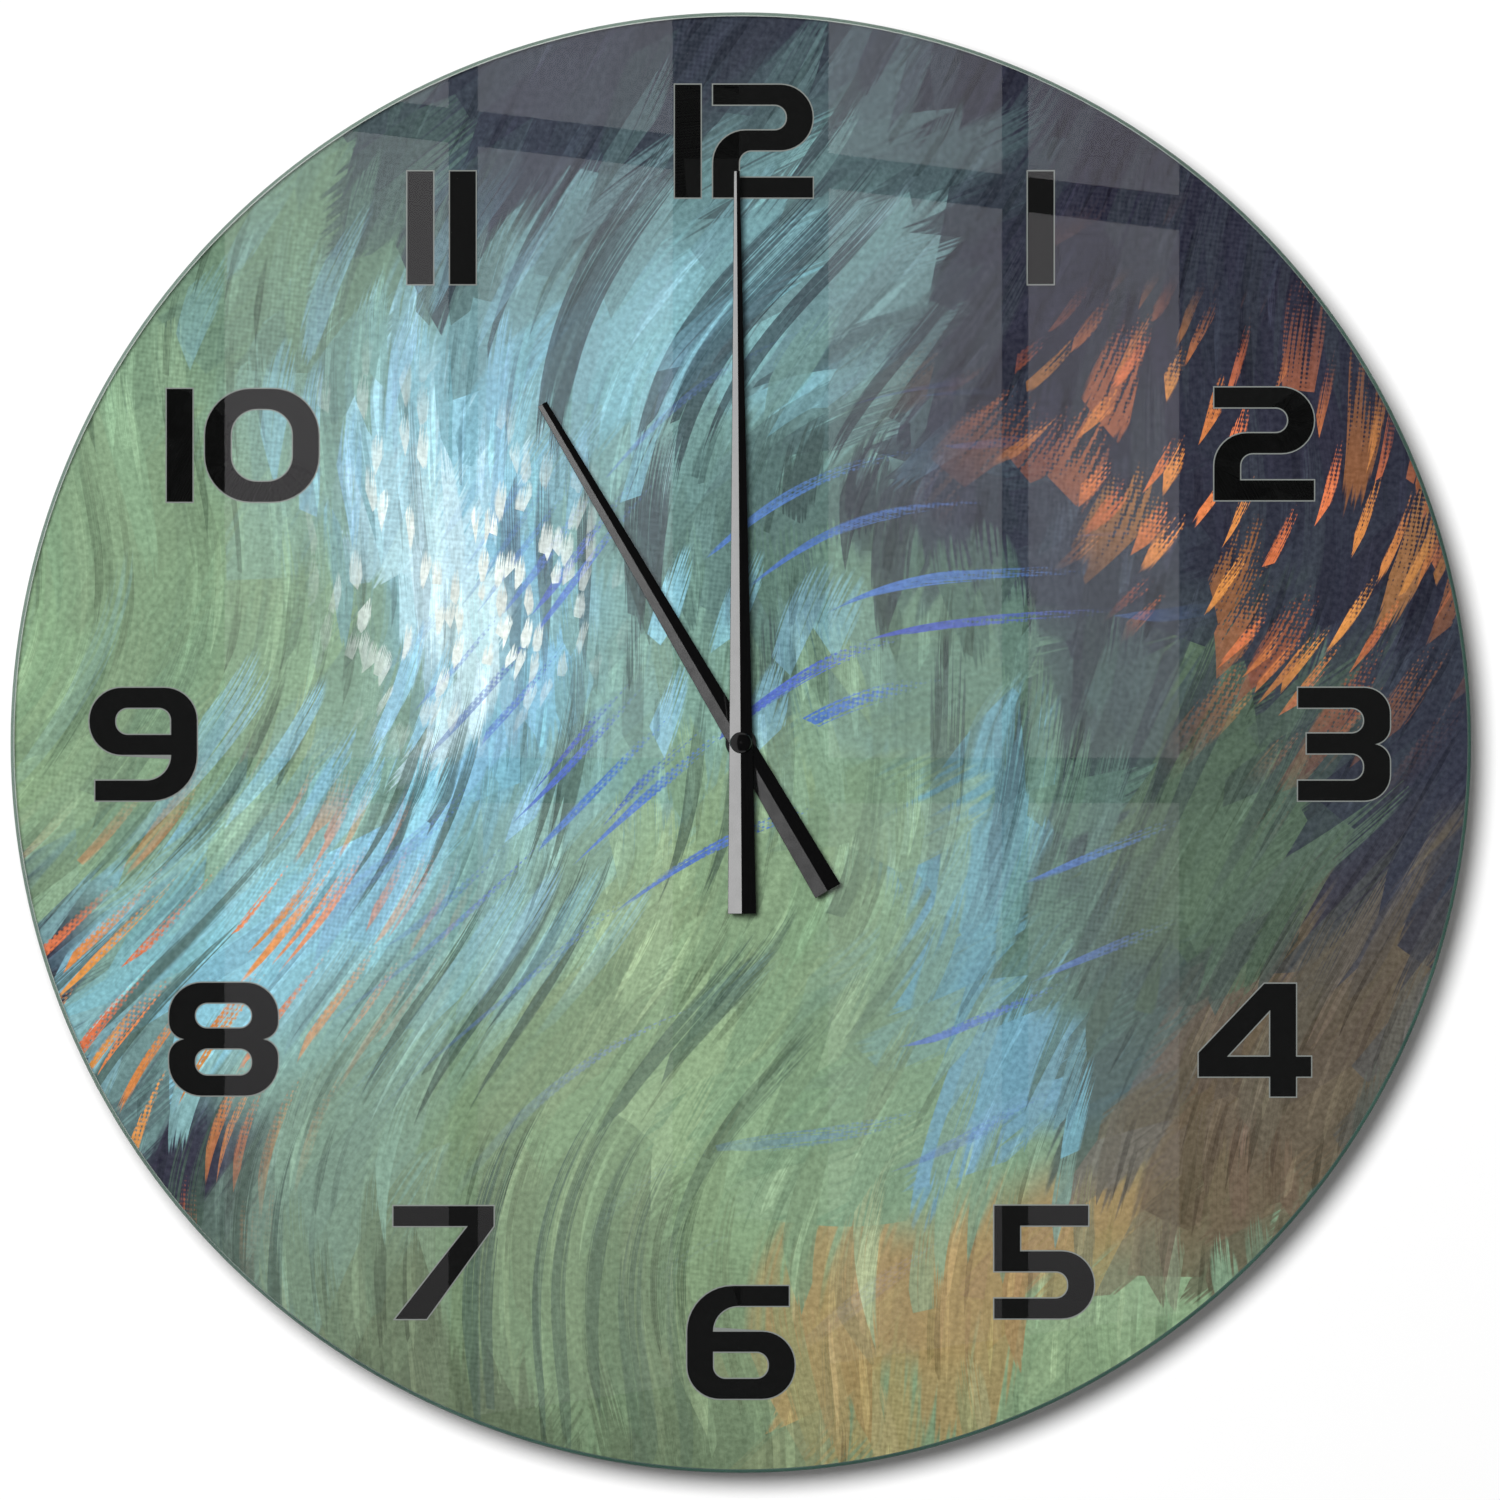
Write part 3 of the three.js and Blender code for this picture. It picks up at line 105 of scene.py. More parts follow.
CAMERA_DISTANCE = 3.0
CAMERA_X = 1.87 * MM
CAMERA_Z = -1.5 * MM
FRAME_WIDTH = 308.0 * MM
SENSOR_WIDTH = 36.0
FLOOR_Z = -0.45
FLOOR_REACH = 6.0
WALL_REACH = 0.6
SCREEN_DISTANCE = 3.8
WINDOW_DISTANCE = 3.3
AMBIENT = 0.11
WALL_PAINT = (0.96, 0.96, 0.96, 1.0)
FLOOR_PAINT = (0.84, 0.84, 0.83, 1.0)

# The mirrored panes as they lie on the dial, in millimetres: columns from left to right,
# and rows from a lower to an upper edge, each given by its height at the middle and its slope
PANE_COLUMNS = [(-106.0, -60.0), (-54.0, -14.0), (18.0, 53.6), (59.0, 90.0)]
PANE_ROWS = [((-130.2, 0.145), (-12.4, 0.0)), ((-3.1, 0.0), (116.0, -0.12)), ((123.2, -0.12), (165.0, 0.0))]


# Colours and shader nodes

def srgb(*levels):
    """Red, green and blue from 0 to 255 on screen, as the linear RGBA that shaders take."""
    shares = [level / 255 for level in levels]
    linear = [share / 12.92 if share <= 0.04045 else ((share + 0.055) / 1.055) ** 2.4 for share in shares]
    return (*linear, 1.0)


def shaded(colour, share):
    """The colour made darker or lighter by the share."""
    return tuple(value * share for value in colour[:3]) + (1.0,)


class Nodes:
    """Adds nodes to one shader tree. Inputs go by name, with _ for a space, or as in0, in1 and so on.

    A node that is given as an input stands for its first output.
    """

    def __init__(self, tree, material=None):
        self.tree, self.material = tree, material
        tree.nodes.clear()

    def add(self, kind, settings=None, **inputs):
        node = self.tree.nodes.new("ShaderNode" + kind)
        for key, value in (settings or {}).items():
            setattr(node, key, value)
        for key, value in inputs.items():
            socket = node.inputs[int(key[2:]) if key[2:].isdigit() else key.replace("_", " ")]
            if isinstance(value, bpy.types.Node):
                value = value.outputs[0]
            if isinstance(value, bpy.types.NodeSocket):
                self.tree.links.new(value, socket)
            else:
                socket.default_value = value
        return node

    def math(self, operation, *values, kind="Math", output="Value"):
        inputs = {f"in{i}": value for i, value in enumerate(values)}
        return self.add(kind, {"operation": operation}, **inputs).outputs[output]

    def times(self, first, second):
        return self.math("MULTIPLY", first, second)

    def vector(self, operation, *values, output="Vector"):
        return self.math(operation, *values, kind="VectorMath", output=output)

    def mix(self, factor, first, second, blend="MIX"):
        settings = {"data_type": "RGBA", "blend_type": blend}
        return self.add("Mix", settings, in0=factor, in6=first, in7=second).outputs[2]

    def between(self, value, low, high, start=0.0, end=1.0):
        """Runs smoothly from start to end as value goes from low to high."""
        settings = {"interpolation_type": "SMOOTHSTEP"}
        return self.add("MapRange", settings, in0=value, in1=low, in2=high, in3=start, in4=end)

    def noise(self, place, scale, detail=2.0, output="Fac", space="3D"):
        settings = {"noise_dimensions": space}
        return self.add("TexNoise", settings, Vector=place, Scale=scale, Detail=detail).outputs[output]

    def ramp(self, factor, *stops):
        """A colour ramp of (place, (red, green, blue)) stops."""
        node = self.add("ValToRGB", Fac=factor)
        elements = node.color_ramp.elements
        while len(elements) < len(stops):
            elements.new(1.0)
        for element, (place, colour) in zip(elements, stops):
            element.position = place
            element.color = srgb(*colour)
        return node

    def here(self):
        """Where the point is on the object at rest."""
        return self.add("TexCoord").outputs["Object"]

    def stretched(self, place, scales):
        return self.vector("MULTIPLY", place, scales)

    def placed(self, place, degrees, x=0.0, z=0.0, size=(1.0, 1.0), kind="TEXTURE"):
        """The place from x, z, turned and in units of the size, or back again with kind POINT."""
        return self.add("Mapping", {"vector_type": kind}, Vector=place, Location=(x, z, 0.0),
                        Rotation=(0.0, 0.0, radians(degrees)), Scale=(*size, 1.0))

    def bump(self, height, distance, strength=1.0):
        return self.add("Bump", Height=height, Distance=distance, Strength=strength)

    def end(self, shader):
        """Ends a material's tree in the shader and gives the material."""
        self.add("OutputMaterial", Surface=shader)
        return self.material

    def finish(self, colour, roughness, **more):
        return self.end(self.add("BsdfPrincipled", Base_Color=colour, Roughness=roughness, **more))


def new_material(name):
    material = bpy.data.materials.new(name)
    material.use_nodes = True
    return Nodes(material.node_tree, material)


def varied(nodes, colour, place, scale, amount, detail=3.0):
    """The colour, lighter and darker by the amount in soft patches of the scale."""
    value = nodes.between(nodes.noise(place, scale, detail), 0.25, 0.75, 1 - amount, 1 + amount)
    return nodes.add("HueSaturation", Color=colour, Value=value)


# Finishes of the working parts

def moulded(name, colour, roughness=0.42, grain=0.12 * MM, depth=0.01 * MM):
    """Moulded plastic with a fine grain and slightly uneven gloss."""
    n = new_material(name)
    place = n.here()
    coat = varied(n, colour, place, 90.0, 0.05)
    grit = n.noise(place, 1 / grain, 4.0)
    gloss = n.between(n.noise(place, 160.0, 3.0), 0.3, 0.7, roughness - 0.06, roughness + 0.06)
    return n.finish(coat, gloss, Normal=n.bump(grit, depth))


def brushed(name, colour, roughness=0.3, along=(1.0, 1.0, 0.06), line=0.1 * MM):
    """Metal with fine lines, long where the along vector is small."""
    n = new_material(name)
    place = n.here()
    lines = n.noise(n.stretched(place, along), 1 / line, 3.0)
    tone = n.mix(n.between(lines, 0.3, 0.7), shaded(colour, 0.86), colour)
    wear = varied(n, tone, place, 120.0, 0.06)
    gloss = n.between(n.noise(place, 300.0, 3.0), 0.3, 0.7, roughness * 0.8, roughness * 1.2)
    return n.finish(wear, gloss, Metallic=1.0, Normal=n.bump(lines, 0.004 * MM))


def cast_magnet(name, colour):
    """Bonded magnet: a dark matt body with metallic flecks."""
    n = new_material(name)
    place = n.here()
    flecks = n.between(n.noise(place, 9000.0, 2.0), 0.58, 0.66)
    tone = n.mix(flecks, colour, srgb(150, 150, 155))
    rough = n.between(flecks, 0.0, 1.0, 0.62, 0.35)
    return n.finish(tone, rough, Metallic=0.5, Normal=n.bump(n.noise(place, 4000.0, 4.0), 0.01 * MM))


def foam(name, colour):
    """Closed-cell foam tape: small round cells with soft rims, and painted light that makes the raised rims
    paler than the hollows.
    """
    n = new_material(name)
    place = n.here()
    cells = n.add("TexVoronoi", Vector=place, Scale=2200.0).outputs["Distance"]
    # Painted light: the colour runs from the foam's tone in each cell's hollow to near white on its raised
    # rim, as the bump does.
    tone = n.mix(n.between(cells, 0.1, 0.6), varied(n, colour, place, 70.0, 0.05), srgb(255, 255, 250))
    return n.finish(tone, 0.88, Normal=n.bump(cells, 0.06 * MM, 0.7))


def rubber(name, colour):
    """Soft black rubber with dusty, worn patches."""
    n = new_material(name)
    place = n.here()
    dust = n.between(n.noise(place, 260.0, 6.0), 0.52, 0.75)
    tone = n.mix(n.times(dust, 0.5), colour, srgb(88, 86, 82))
    rough = n.between(dust, 0.0, 1.0, 0.6, 0.85)
    grit = n.noise(place, 5200.0, 5.0)
    return n.finish(tone, rough, Normal=n.bump(grit, 0.03 * MM))


def winding(name, colour):
    """Enamelled copper wire wound round the X axis, with painted shade in the grooves between its turns."""
    n = new_material(name)
    place = n.here()
    turns = n.add("TexWave", {"wave_type": "BANDS", "bands_direction": "X"}, Vector=place, Scale=1900.0,
                  Distortion=0.4, Detail=1.0).outputs["Fac"]
    # Painted shade: the grooves between the turns are darkened to 0.35 of the wire's colour.
    tone = varied(n, n.mix(turns, shaded(colour, 0.35), colour), place, 300.0, 0.1)
    return n.finish(tone, 0.32, Metallic=0.8, Coat_Weight=0.6, Normal=n.bump(turns, 0.05 * MM))


def board(name, colour):
    """Green solder mask over raised copper tracks."""
    n = new_material(name)
    place = n.here()
    lanes = n.math("FRACT", n.times(n.add("SeparateXYZ", Vector=place).outputs["Z"], 520.0))
    routes = n.noise(n.stretched(place, (1.0, 1.0, 3.0)), 95.0, 0.0)
    track = n.times(n.math("LESS_THAN", lanes, 0.45), n.math("GREATER_THAN", routes, 0.5))
    tone = n.mix(track, varied(n, colour, place, 200.0, 0.08), srgb(74, 128, 78))
    return n.finish(tone, 0.34, Coat_Weight=0.4, Normal=n.bump(track, 0.03 * MM, 0.6))


FINISHES = {
    "case_plastic": (moulded, (33, 33, 35), 0.5, 0.16 * MM, 0.02 * MM),
    "knob_plastic": (moulded, (52, 52, 55), 0.42),
    "plate_plastic": (moulded, (214, 213, 205), 0.45),
    "gear_plastic": (moulded, (231, 227, 214), 0.36, 0.2 * MM, 0.004 * MM),
    "bobbin_plastic": (moulded, (238, 234, 220), 0.4),
    "chip_resin": (moulded, (20, 20, 22), 0.28, 0.5 * MM, 0.02 * MM),
    "brass": (brushed, (196, 164, 98), 0.28, (1.0, 0.1, 1.0)),
    "spring_steel": (brushed, (196, 198, 202), 0.24),
    "soft_iron": (brushed, (148, 150, 154), 0.42, (0.08, 1.0, 1.0)),
    "screw_steel": (brushed, (204, 206, 210), 0.26, (1.0, 1.0, 0.3)),
    "crystal_can": (brushed, (206, 208, 212), 0.2, (0.1, 1.0, 1.0)),
    "hanger_steel": (brushed, (190, 193, 198), 0.34, (0.06, 1.0, 1.0), 0.16 * MM),
    "magnet": (cast_magnet, (58, 58, 61)),
    "foam_tape": (foam, (226, 225, 218)),
    "rubber": (rubber, (33, 33, 34)),
    "copper_wire": (winding, (196, 106, 60)),
    "circuit_board": (board, (44, 88, 54)),
}
MATERIALS = {name: make(name, srgb(*colour), *values) for name, (make, colour, *values) in FINISHES.items()}


# Making pieces

def rounded(corners, steps=10):
    """The points of a closed outline whose corners are (x, z) or (x, z, radius)."""
    points = []
    for i, (x, z, *rest) in enumerate(corners):
        corner = Vector((x, z))
        if not rest:
            points.append(corner)
            continue
        radius = rest[0]
        before = (Vector(corners[i - 1][:2]) - corner).normalized()
        after = (Vector(corners[(i + 1) % len(corners)][:2]) - corner).normalized()
        half = before.angle(after) / 2
        start = corner + before * radius / math.tan(half)
        end = corner + after * radius / math.tan(half)
        middle = corner + (before + after).normalized() * radius / sin(half)
        first, last = start - middle, end - middle
        sweep = first.angle_signed(last)
        for step in range(steps + 1):
            turn = -sweep * step / steps
            points.append(middle + Vector((first.x * cos(turn) - first.y * sin(turn),
                                           first.x * sin(turn) + first.y * cos(turn))))
    return points


def distance_to(loop, point):
    """The shortest way from the point to the closed outline."""
    nearest = math.inf
    for i, end in enumerate(loop):
        start, along = loop[i - 1], end - loop[i - 1]
        share = min(1.0, max(0.0, (point - start).dot(along) / along.length_squared))
        nearest = min(nearest, (start + along * share - point).length)
    return nearest


def offset(loop, distance):
    """The outline moved out, or in if the distance is negative, without points that would cross."""
    count = len(loop)
    area = sum(loop[i - 1].x * loop[i].y - loop[i].x * loop[i - 1].y for i in range(count))
    side = distance if area > 0 else -distance
    moved = []
    for i, point in enumerate(loop):
        normals = []
        for first, second in ((loop[i - 1], point), (point, loop[(i + 1) % count])):
            along = (second - first).normalized()
            normals.append(Vector((along.y, -along.x)))
        total = normals[0] + normals[1]
        moved.append(point + total * side * 2 / total.length_squared)
    return [point for point in moved if distance_to(loop, point) > 0.99 * abs(distance)]


def distinct(loop):
    """The outline without points that lie on the one before."""
    return [point for i, point in enumerate(loop) if (point - loop[i - 1]).length > 1e-9]


def edges_of(loops):
    """Each edge of the loops, by the numbers of its two points."""
    edges, first = [], 0
    for loop in loops:
        edges += [(first + i, first + (i + 1) % len(loop)) for i in range(len(loop))]
        first += len(loop)
    return edges


def filling(loops):
    """The triangles that fill an outline round its holes, by the numbers of the loops' points."""
    points, sides = [point / MM for loop in loops for point in loop], edges_of(loops)

    def inside(corners):
        middle = sum((points[i] for i in corners), Vector((0.0, 0.0))) / 3
        crossed = 0
        for start, end in ((points[a], points[b]) for a, b in sides):
            if (start.y > middle.y) != (end.y > middle.y):
                crossed += middle.x < start.x + (end.x - start.x) * (middle.y - start.y) / (end.y - start.y)
        return crossed % 2 == 1

    return [corners for corners in delaunay_2d_cdt(points, sides, [], 0, 1e-6)[2] if inside(corners)]


def prism(shape, loops, front, rear, kind=0):
    """A flat plate in the XZ plane from its outer outline and its holes."""
    loops = [distinct(loop) for loop in loops]
    points = [point for loop in loops for point in loop]
    triangles = filling(loops)
    caps = []
    for y in (front, rear):
        caps.append([shape.verts.new((point.x, y, point.y)) for point in points])
        for corners in triangles:
            shape.faces.new([caps[-1][i] for i in corners]).material_index = kind
    for here, there in edges_of(loops):
        corners = [caps[0][here], caps[0][there], caps[1][there], caps[1][here]]
        shape.faces.new(corners).material_index = kind
    return shape


def lathe(profile, sides=64, place=(0.0, 0.0), kinds=None, closed=False, flutes=0, depth=0.0):
    """A body turned about a line along Y through place, from (radius, y) points, with a fluted rim."""
    turn = 2 * math.pi / sides
    rim = max(radius for radius, y in profile)

    def spot(radius, y, angle):
        dip = depth * (0.5 - 0.5 * cos(flutes * angle)) * (radius / rim) ** 6
        return (place[0] + (radius - dip) * cos(angle), y, place[1] + (radius - dip) * sin(angle))

    shape = bmesh.new()
    rings = [[shape.verts.new(spot(radius, y, k * turn)) for radius, y in profile] for k in range(sides)]
    last = len(profile) if closed else len(profile) - 1
    for k in range(sides):
        here, there = rings[k - 1], rings[k]
        for i in range(last):
            j = (i + 1) % len(profile)
            face = shape.faces.new([here[i], here[j], there[j], there[i]])
            face.material_index = kinds[i] if kinds else 0
    bmesh.ops.remove_doubles(shape, verts=shape.verts, dist=1e-7)
    return shape


def angles(first, last, steps):
    """Angles in even steps, given in degrees, as radians."""
    return [radians(first + (last - first) * step / steps) for step in range(steps + 1)]


def arc(middle, radius, first, last, steps):
    """Points (radius, y) on an arc, with angles in degrees from the outward direction to +Y."""
    return [(middle[0] + radius * cos(a), middle[1] + radius * sin(a)) for a in angles(first, last, steps)]


def loose_object(shape, name):
    bmesh.ops.recalc_face_normals(shape, faces=shape.faces)
    mesh = bpy.data.meshes.new(name)
    shape.to_mesh(mesh)
    shape.free()
    piece = bpy.data.objects.new(name, mesh)
    scene.collection.objects.link(piece)
    return piece


def modify(piece, name, kind, **settings):
    modifier = piece.modifiers.new(name, kind)
    for key, value in settings.items():
        setattr(modifier, key, value)


def combined(first, second, operation):
    """One shape from two by a boolean: UNION, DIFFERENCE or INTERSECT."""
    base, tool = loose_object(first, "base"), loose_object(second, "tool")
    modify(base, "cut", "BOOLEAN", object=tool, operation=operation, solver="EXACT")
    bpy.context.view_layer.update()
    result = bmesh.new()
    result.from_object(base, bpy.context.evaluated_depsgraph_get())
    for scrap in (base, tool):
        mesh = scrap.data
        bpy.data.objects.remove(scrap)
        bpy.data.meshes.remove(mesh)
    return result


def eased(piece, width):
    """Rounds the piece's sharp edges and keeps its flat faces flat."""
    modify(piece, "eased_edges", "BEVEL", width=width, segments=2, limit_method="ANGLE",
           angle_limit=radians(SHARP_DEGREES), use_clamp_overlap=True)
    modify(piece, "flat_faces", "WEIGHTED_NORMAL")


def add_piece(shape, name, materials, body, nodes, ease=0.0, sharp=SHARP_DEGREES):
    """Turns the shape into a piece that rides on the body and stands for the nodes."""
    piece = loose_object(shape, name)
    for material in materials:
        piece.data.materials.append(material)
    piece.data.shade_smooth()
    if ease:
        eased(piece, ease)
    else:
        piece.data.set_sharp_from_angle(angle=radians(sharp))
    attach(piece, body)
    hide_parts(*nodes)


def dress(node, slot):
    """Gives a CAD node its finish and eased edges, with its mesh as it is."""
    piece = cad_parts[node]
    piece.data.materials.clear()
    piece.data.materials.append(MATERIALS[slot])
    piece.data.shade_smooth()
    modify(piece, "joined_points", "WELD", merge_threshold=SAME_PLACE)
    modify(piece, "whole_faces", "DECIMATE", decimate_type="DISSOLVE", angle_limit=radians(0.5))
    eased(piece, DRESSED_EDGE)


# The generic painted design behind the glass

def palette_group():
    """The design's broad colours over the dial, whose place runs from -1 to 1 across it."""
    group = bpy.data.node_groups.new("dial_colours", "ShaderNodeTree")
    group.interface.new_socket("Place", in_out="INPUT", socket_type="NodeSocketVector")
    group.interface.new_socket("Color", in_out="OUTPUT", socket_type="NodeSocketColor")
    n = Nodes(group)
    place = group.nodes.new("NodeGroupInput").outputs[0]
    drift = n.vector("SUBTRACT", n.noise(place, 1.6, 2.0, "Color", "2D"), (0.5, 0.5, 0.5))
    loose = n.vector("ADD", place, n.stretched(drift, (0.9, 0.9, 0.0)))
    sweep = n.vector("DOT_PRODUCT", loose, (0.62, 0.78, 0.0), output="Value")
    colour = n.ramp(
        n.between(sweep, -1.1, 1.1),
        (0.0, (98, 110, 88)), (0.2, (140, 165, 130)), (0.42, (130, 157, 131)),
        (0.6, (96, 123, 111)), (0.78, (66, 72, 84)), (1.0, (44, 43, 58)),
    )

    # Soft ovals: x and z of the middle, length, width, slant in degrees and colour
    ovals = [
        (0.3, -0.68, 0.5, 0.22, 14, (158, 134, 92)), (-0.84, -0.44, 0.5, 0.3, 66, (58, 56, 72)),
        (0.66, 0.06, 0.36, 0.2, -35, (88, 106, 90)), (-0.26, 0.12, 0.9, 0.46, 62, (132, 170, 168)),
        (-0.3, 0.18, 0.66, 0.26, 60, (138, 192, 218)), (-0.36, 0.24, 0.3, 0.12, 58, (206, 234, 242)),
        (0.42, -0.28, 0.44, 0.14, -24, (112, 156, 176)), (0.78, -0.42, 0.42, 0.24, 52, (106, 92, 76)),
    ]
    for x, z, length, width, degrees, shade in ovals:
        oval = n.placed(loose, degrees, x, z, (length, width))
        inside = n.between(n.vector("LENGTH", oval, output="Value"), 1.0, 0.4)
        colour = n.mix(inside, colour, srgb(*shade))
    out = group.nodes.new("NodeGroupOutput")
    group.links.new(colour, out.inputs[0])
    return group


def dial_print():
    """Loose brush strokes in several sizes, on canvas, in sage, slate, sky blue, ochre and some orange."""
    n = new_material("dial_print")
    palette = palette_group()
    on_disc = n.add("SeparateXYZ", Vector=n.here()).outputs
    across, upward = (n.math("DIVIDE", on_disc[axis], disc_radius) for axis in "XZ")
    place = n.add("CombineXYZ", X=across, Y=upward)
    curl = n.vector("SUBTRACT", n.noise(place, 1.1, 0.0, "Color", "2D"), (0.5, 0.5, 0.5))
    curled = n.vector("ADD", place, n.stretched(curl, (0.5, 0.5, 0.0)))

    def colours_at(point):
        return n.add("Group", {"node_tree": palette}, in0=point)

    threads = n.add("SeparateXYZ", Vector=n.stretched(n.placed(place, 38), (700.0, 700.0, 0.0))).outputs
    weave = n.times(n.math("SINE", threads["X"]), n.math("SINE", threads["Y"]))

    def strokes(below, length, width, degrees, shift, cover, shade=None, where=1.0, streaks=0.3, jitter=0.3,
                opacity=1.0, dry=False):
        """Strokes of the size and slant over what is below, which run dry towards their ends.

        The shift moves their cells, of which the share of cover is painted. Each takes the broad colour at
        its middle, or the given shade. Dry ones only catch the raised threads. Brightness varies by the
        streaks within a stroke and by the jitter from stroke to stroke.
        """
        turn = (degrees, shift, -1.7 * shift, (length, width))
        local = n.placed(curled, *turn)
        cells = n.add("TexVoronoi", {"voronoi_dimensions": "2D"}, Vector=local, Scale=1.0)
        centre = cells.outputs["Position"]
        chance = n.add("SeparateColor", Color=cells.outputs["Color"]).outputs
        bristle = n.noise(n.stretched(local, (0.8, 12.0, 1.0)), 1.0, 1.0, space="2D")
        rim = n.math("MULTIPLY_ADD", bristle, 0.42, cells.outputs["Distance"])
        along = n.add("SeparateXYZ", Vector=n.vector("SUBTRACT", local, centre)).outputs["X"]
        left_wet = n.math("MULTIPLY_ADD", along, -0.62, bristle)
        if dry:
            left_wet = n.math("MULTIPLY_ADD", weave, 0.14, left_wet)
        wet = n.between(left_wet, *((0.34, 0.5) if dry else (0.17, 0.4)))
        mask = n.times(n.between(rim, 0.86, 0.74), n.math("LESS_THAN", chance[0], cover))
        mask = n.times(n.times(mask, n.times(wet, opacity)), where)
        light = n.math("MULTIPLY_ADD", n.math("SUBTRACT", bristle, 0.5), streaks, 1.0)
        light = n.math("MULTIPLY_ADD", n.math("SUBTRACT", chance[1], 0.5), jitter, light)
        hue = n.math("MULTIPLY_ADD", n.math("SUBTRACT", chance[2], 0.5), 0.03, 0.5)
        if shade is None:
            shade = colours_at(n.placed(centre, *turn, kind="POINT"))
        return n.mix(mask, below, n.add("HueSaturation", Color=shade, Hue=hue, Value=light))

    def region(x, z, radius):
        """1 round x, z, and 0 from the radius outwards."""
        far = n.vector("DISTANCE", curled, (x, z, 0.0), output="Value")
        return n.between(far, radius, radius * 0.3)

    upper, lower, sky = region(0.25, 0.5, 1.0), region(-0.5, -0.4, 0.9), region(-0.3, 0.12, 0.75)
    heart, left_rim, right_rim = region(0.0, -0.1, 0.7), region(-0.78, -0.3, 0.42), region(0.68, 0.42, 0.46)
    flame, glint = region(0.66, 0.4, 0.36), region(-0.34, 0.28, 0.34)
    slate, moss, pale_blue = srgb(58, 62, 72), srgb(76, 94, 86), srgb(150, 202, 228)
    deep_blue, coral, rust = srgb(92, 120, 196), srgb(222, 134, 80), srgb(150, 98, 70)
    orange, white = srgb(226, 136, 80), srgb(234, 240, 236)

    colour = colours_at(place)
    colour = strokes(colour, 0.36, 0.13, 66, 3.1, 1.0, opacity=0.85)
    colour = strokes(colour, 0.26, 0.06, 40, 1.3, 0.7, opacity=0.8)
    colour = strokes(colour, 0.16, 0.034, 80, 7.7, 0.6, streaks=0.4, jitter=0.4, opacity=0.85)
    colour = strokes(colour, 0.34, 0.028, 74, 2.6, 0.3, slate, upper, opacity=0.75)
    colour = strokes(colour, 0.3, 0.02, 68, 5.2, 0.24, moss, lower, opacity=0.8)
    colour = strokes(colour, 0.2, 0.034, 60, 6.3, 0.26, pale_blue, sky, opacity=0.7)
    colour = strokes(colour, 0.12, 0.009, 72, 11.3, 0.35, colour, streaks=0.7, jitter=1.1, opacity=0.7)
    colour = strokes(colour, 0.28, 0.014, 34, 4.4, 0.14, deep_blue, heart, dry=True)
    colour = strokes(colour, 0.15, 0.012, 72, 8.1, 0.3, coral, left_rim, dry=True)
    colour = strokes(colour, 0.22, 0.05, 64, 12.9, 0.4, rust, right_rim, dry=True)
    colour = strokes(colour, 0.13, 0.013, 58, 0.7, 0.3, orange, flame, dry=True)
    colour = strokes(colour, 0.055, 0.018, 64, 3.8, 0.24, white, glint)
    worn = n.between(n.noise(place, 2.3, 2.0, space="2D"), 0.45, 0.7)
    grain = n.math("SUBTRACT", n.noise(place, 130.0, 3.0, space="2D"), 0.5)
    relief = n.math("MULTIPLY_ADD", grain, 0.7, n.times(n.times(weave, worn), 0.12))
    colour = n.add("HueSaturation", Color=colour, Value=n.math("ADD", relief, 1.0))
    colour = n.mix(0.014, colour, n.math("ADD", relief, 0.5), "LINEAR_LIGHT")
    return n.finish(colour, 0.6, Specular_IOR_Level=0.1)


def backing_paint():
    """The grey-white paint that seals the print from behind."""
    n = new_material("backing_paint")
    place = n.here()
    tone = varied(n, srgb(206, 205, 199), place, 26.0, 0.04, 5.0)
    orange_peel = n.noise(place, 900.0, 3.0)
    return n.finish(tone, n.between(orange_peel, 0.3, 0.7, 0.46, 0.6), Normal=n.bump(orange_peel, 0.02 * MM))


def printed_ink(name, colour):
    n = new_material(name)
    speck = n.noise(n.here(), 2600.0, 3.0)
    tone = n.mix(n.between(speck, 0.3, 0.8), colour, shaded(colour, 1.08))
    return n.finish(tone, n.between(speck, 0.3, 0.7, 0.5, 0.62), Specular_IOR_Level=0.1)


def mirrored(n, shader, roughness, polish=1.0):
    """The shader under a polished face that mirrors what is in front of it, and nothing from inside."""
    outside = n.math("SUBTRACT", 1.0, n.add("NewGeometry").outputs["Backfacing"])
    share = n.times(n.add("Fresnel", IOR=1.5), outside)
    mirror = n.add("BsdfGlossy", Roughness=roughness, Color=(polish, polish, polish, 1.0))
    return n.add("MixShader", in0=share, in1=shader, in2=mirror)


def clear_glass():
    """The front of the disc, polished."""
    n = new_material("clear_glass")
    return n.end(mirrored(n, n.add("BsdfTransparent", Color=(0.985, 0.995, 0.99, 1.0)), 0.004))


def bonded_glass():
    """The back of the disc, which the print wets, so that it mirrors nothing."""
    n = new_material("bonded_glass")
    return n.end(n.add("BsdfTransparent", Color=(0.99, 1.0, 0.995, 1.0)))


def edge_glass():
    """The polished rim, green to look into, which bends lamp light aside and so casts a dark shadow."""
    n = new_material("edge_glass")
    streak = n.between(n.noise(n.stretched(n.here(), (1.0, 14.0, 1.0)), 60.0, 3.0), 0.3, 0.7)
    tint = n.mix(streak, (0.58, 0.65, 0.6, 1.0), (0.66, 0.72, 0.67, 1.0))
    through = n.add("BsdfTransparent", Color=tint)
    body = n.add("BsdfDiffuse", Color=n.mix(streak, srgb(46, 92, 84), srgb(62, 114, 102)))
    glass = n.add("MixShader", in0=0.3, in1=through, in2=body)
    bent_aside = n.times(n.add("LightPath").outputs["Is Shadow Ray"], 0.9)
    glass = n.add("MixShader", in0=bent_aside, in1=glass, in2=body)
    return n.end(mirrored(n, glass, 0.2, 0.35))


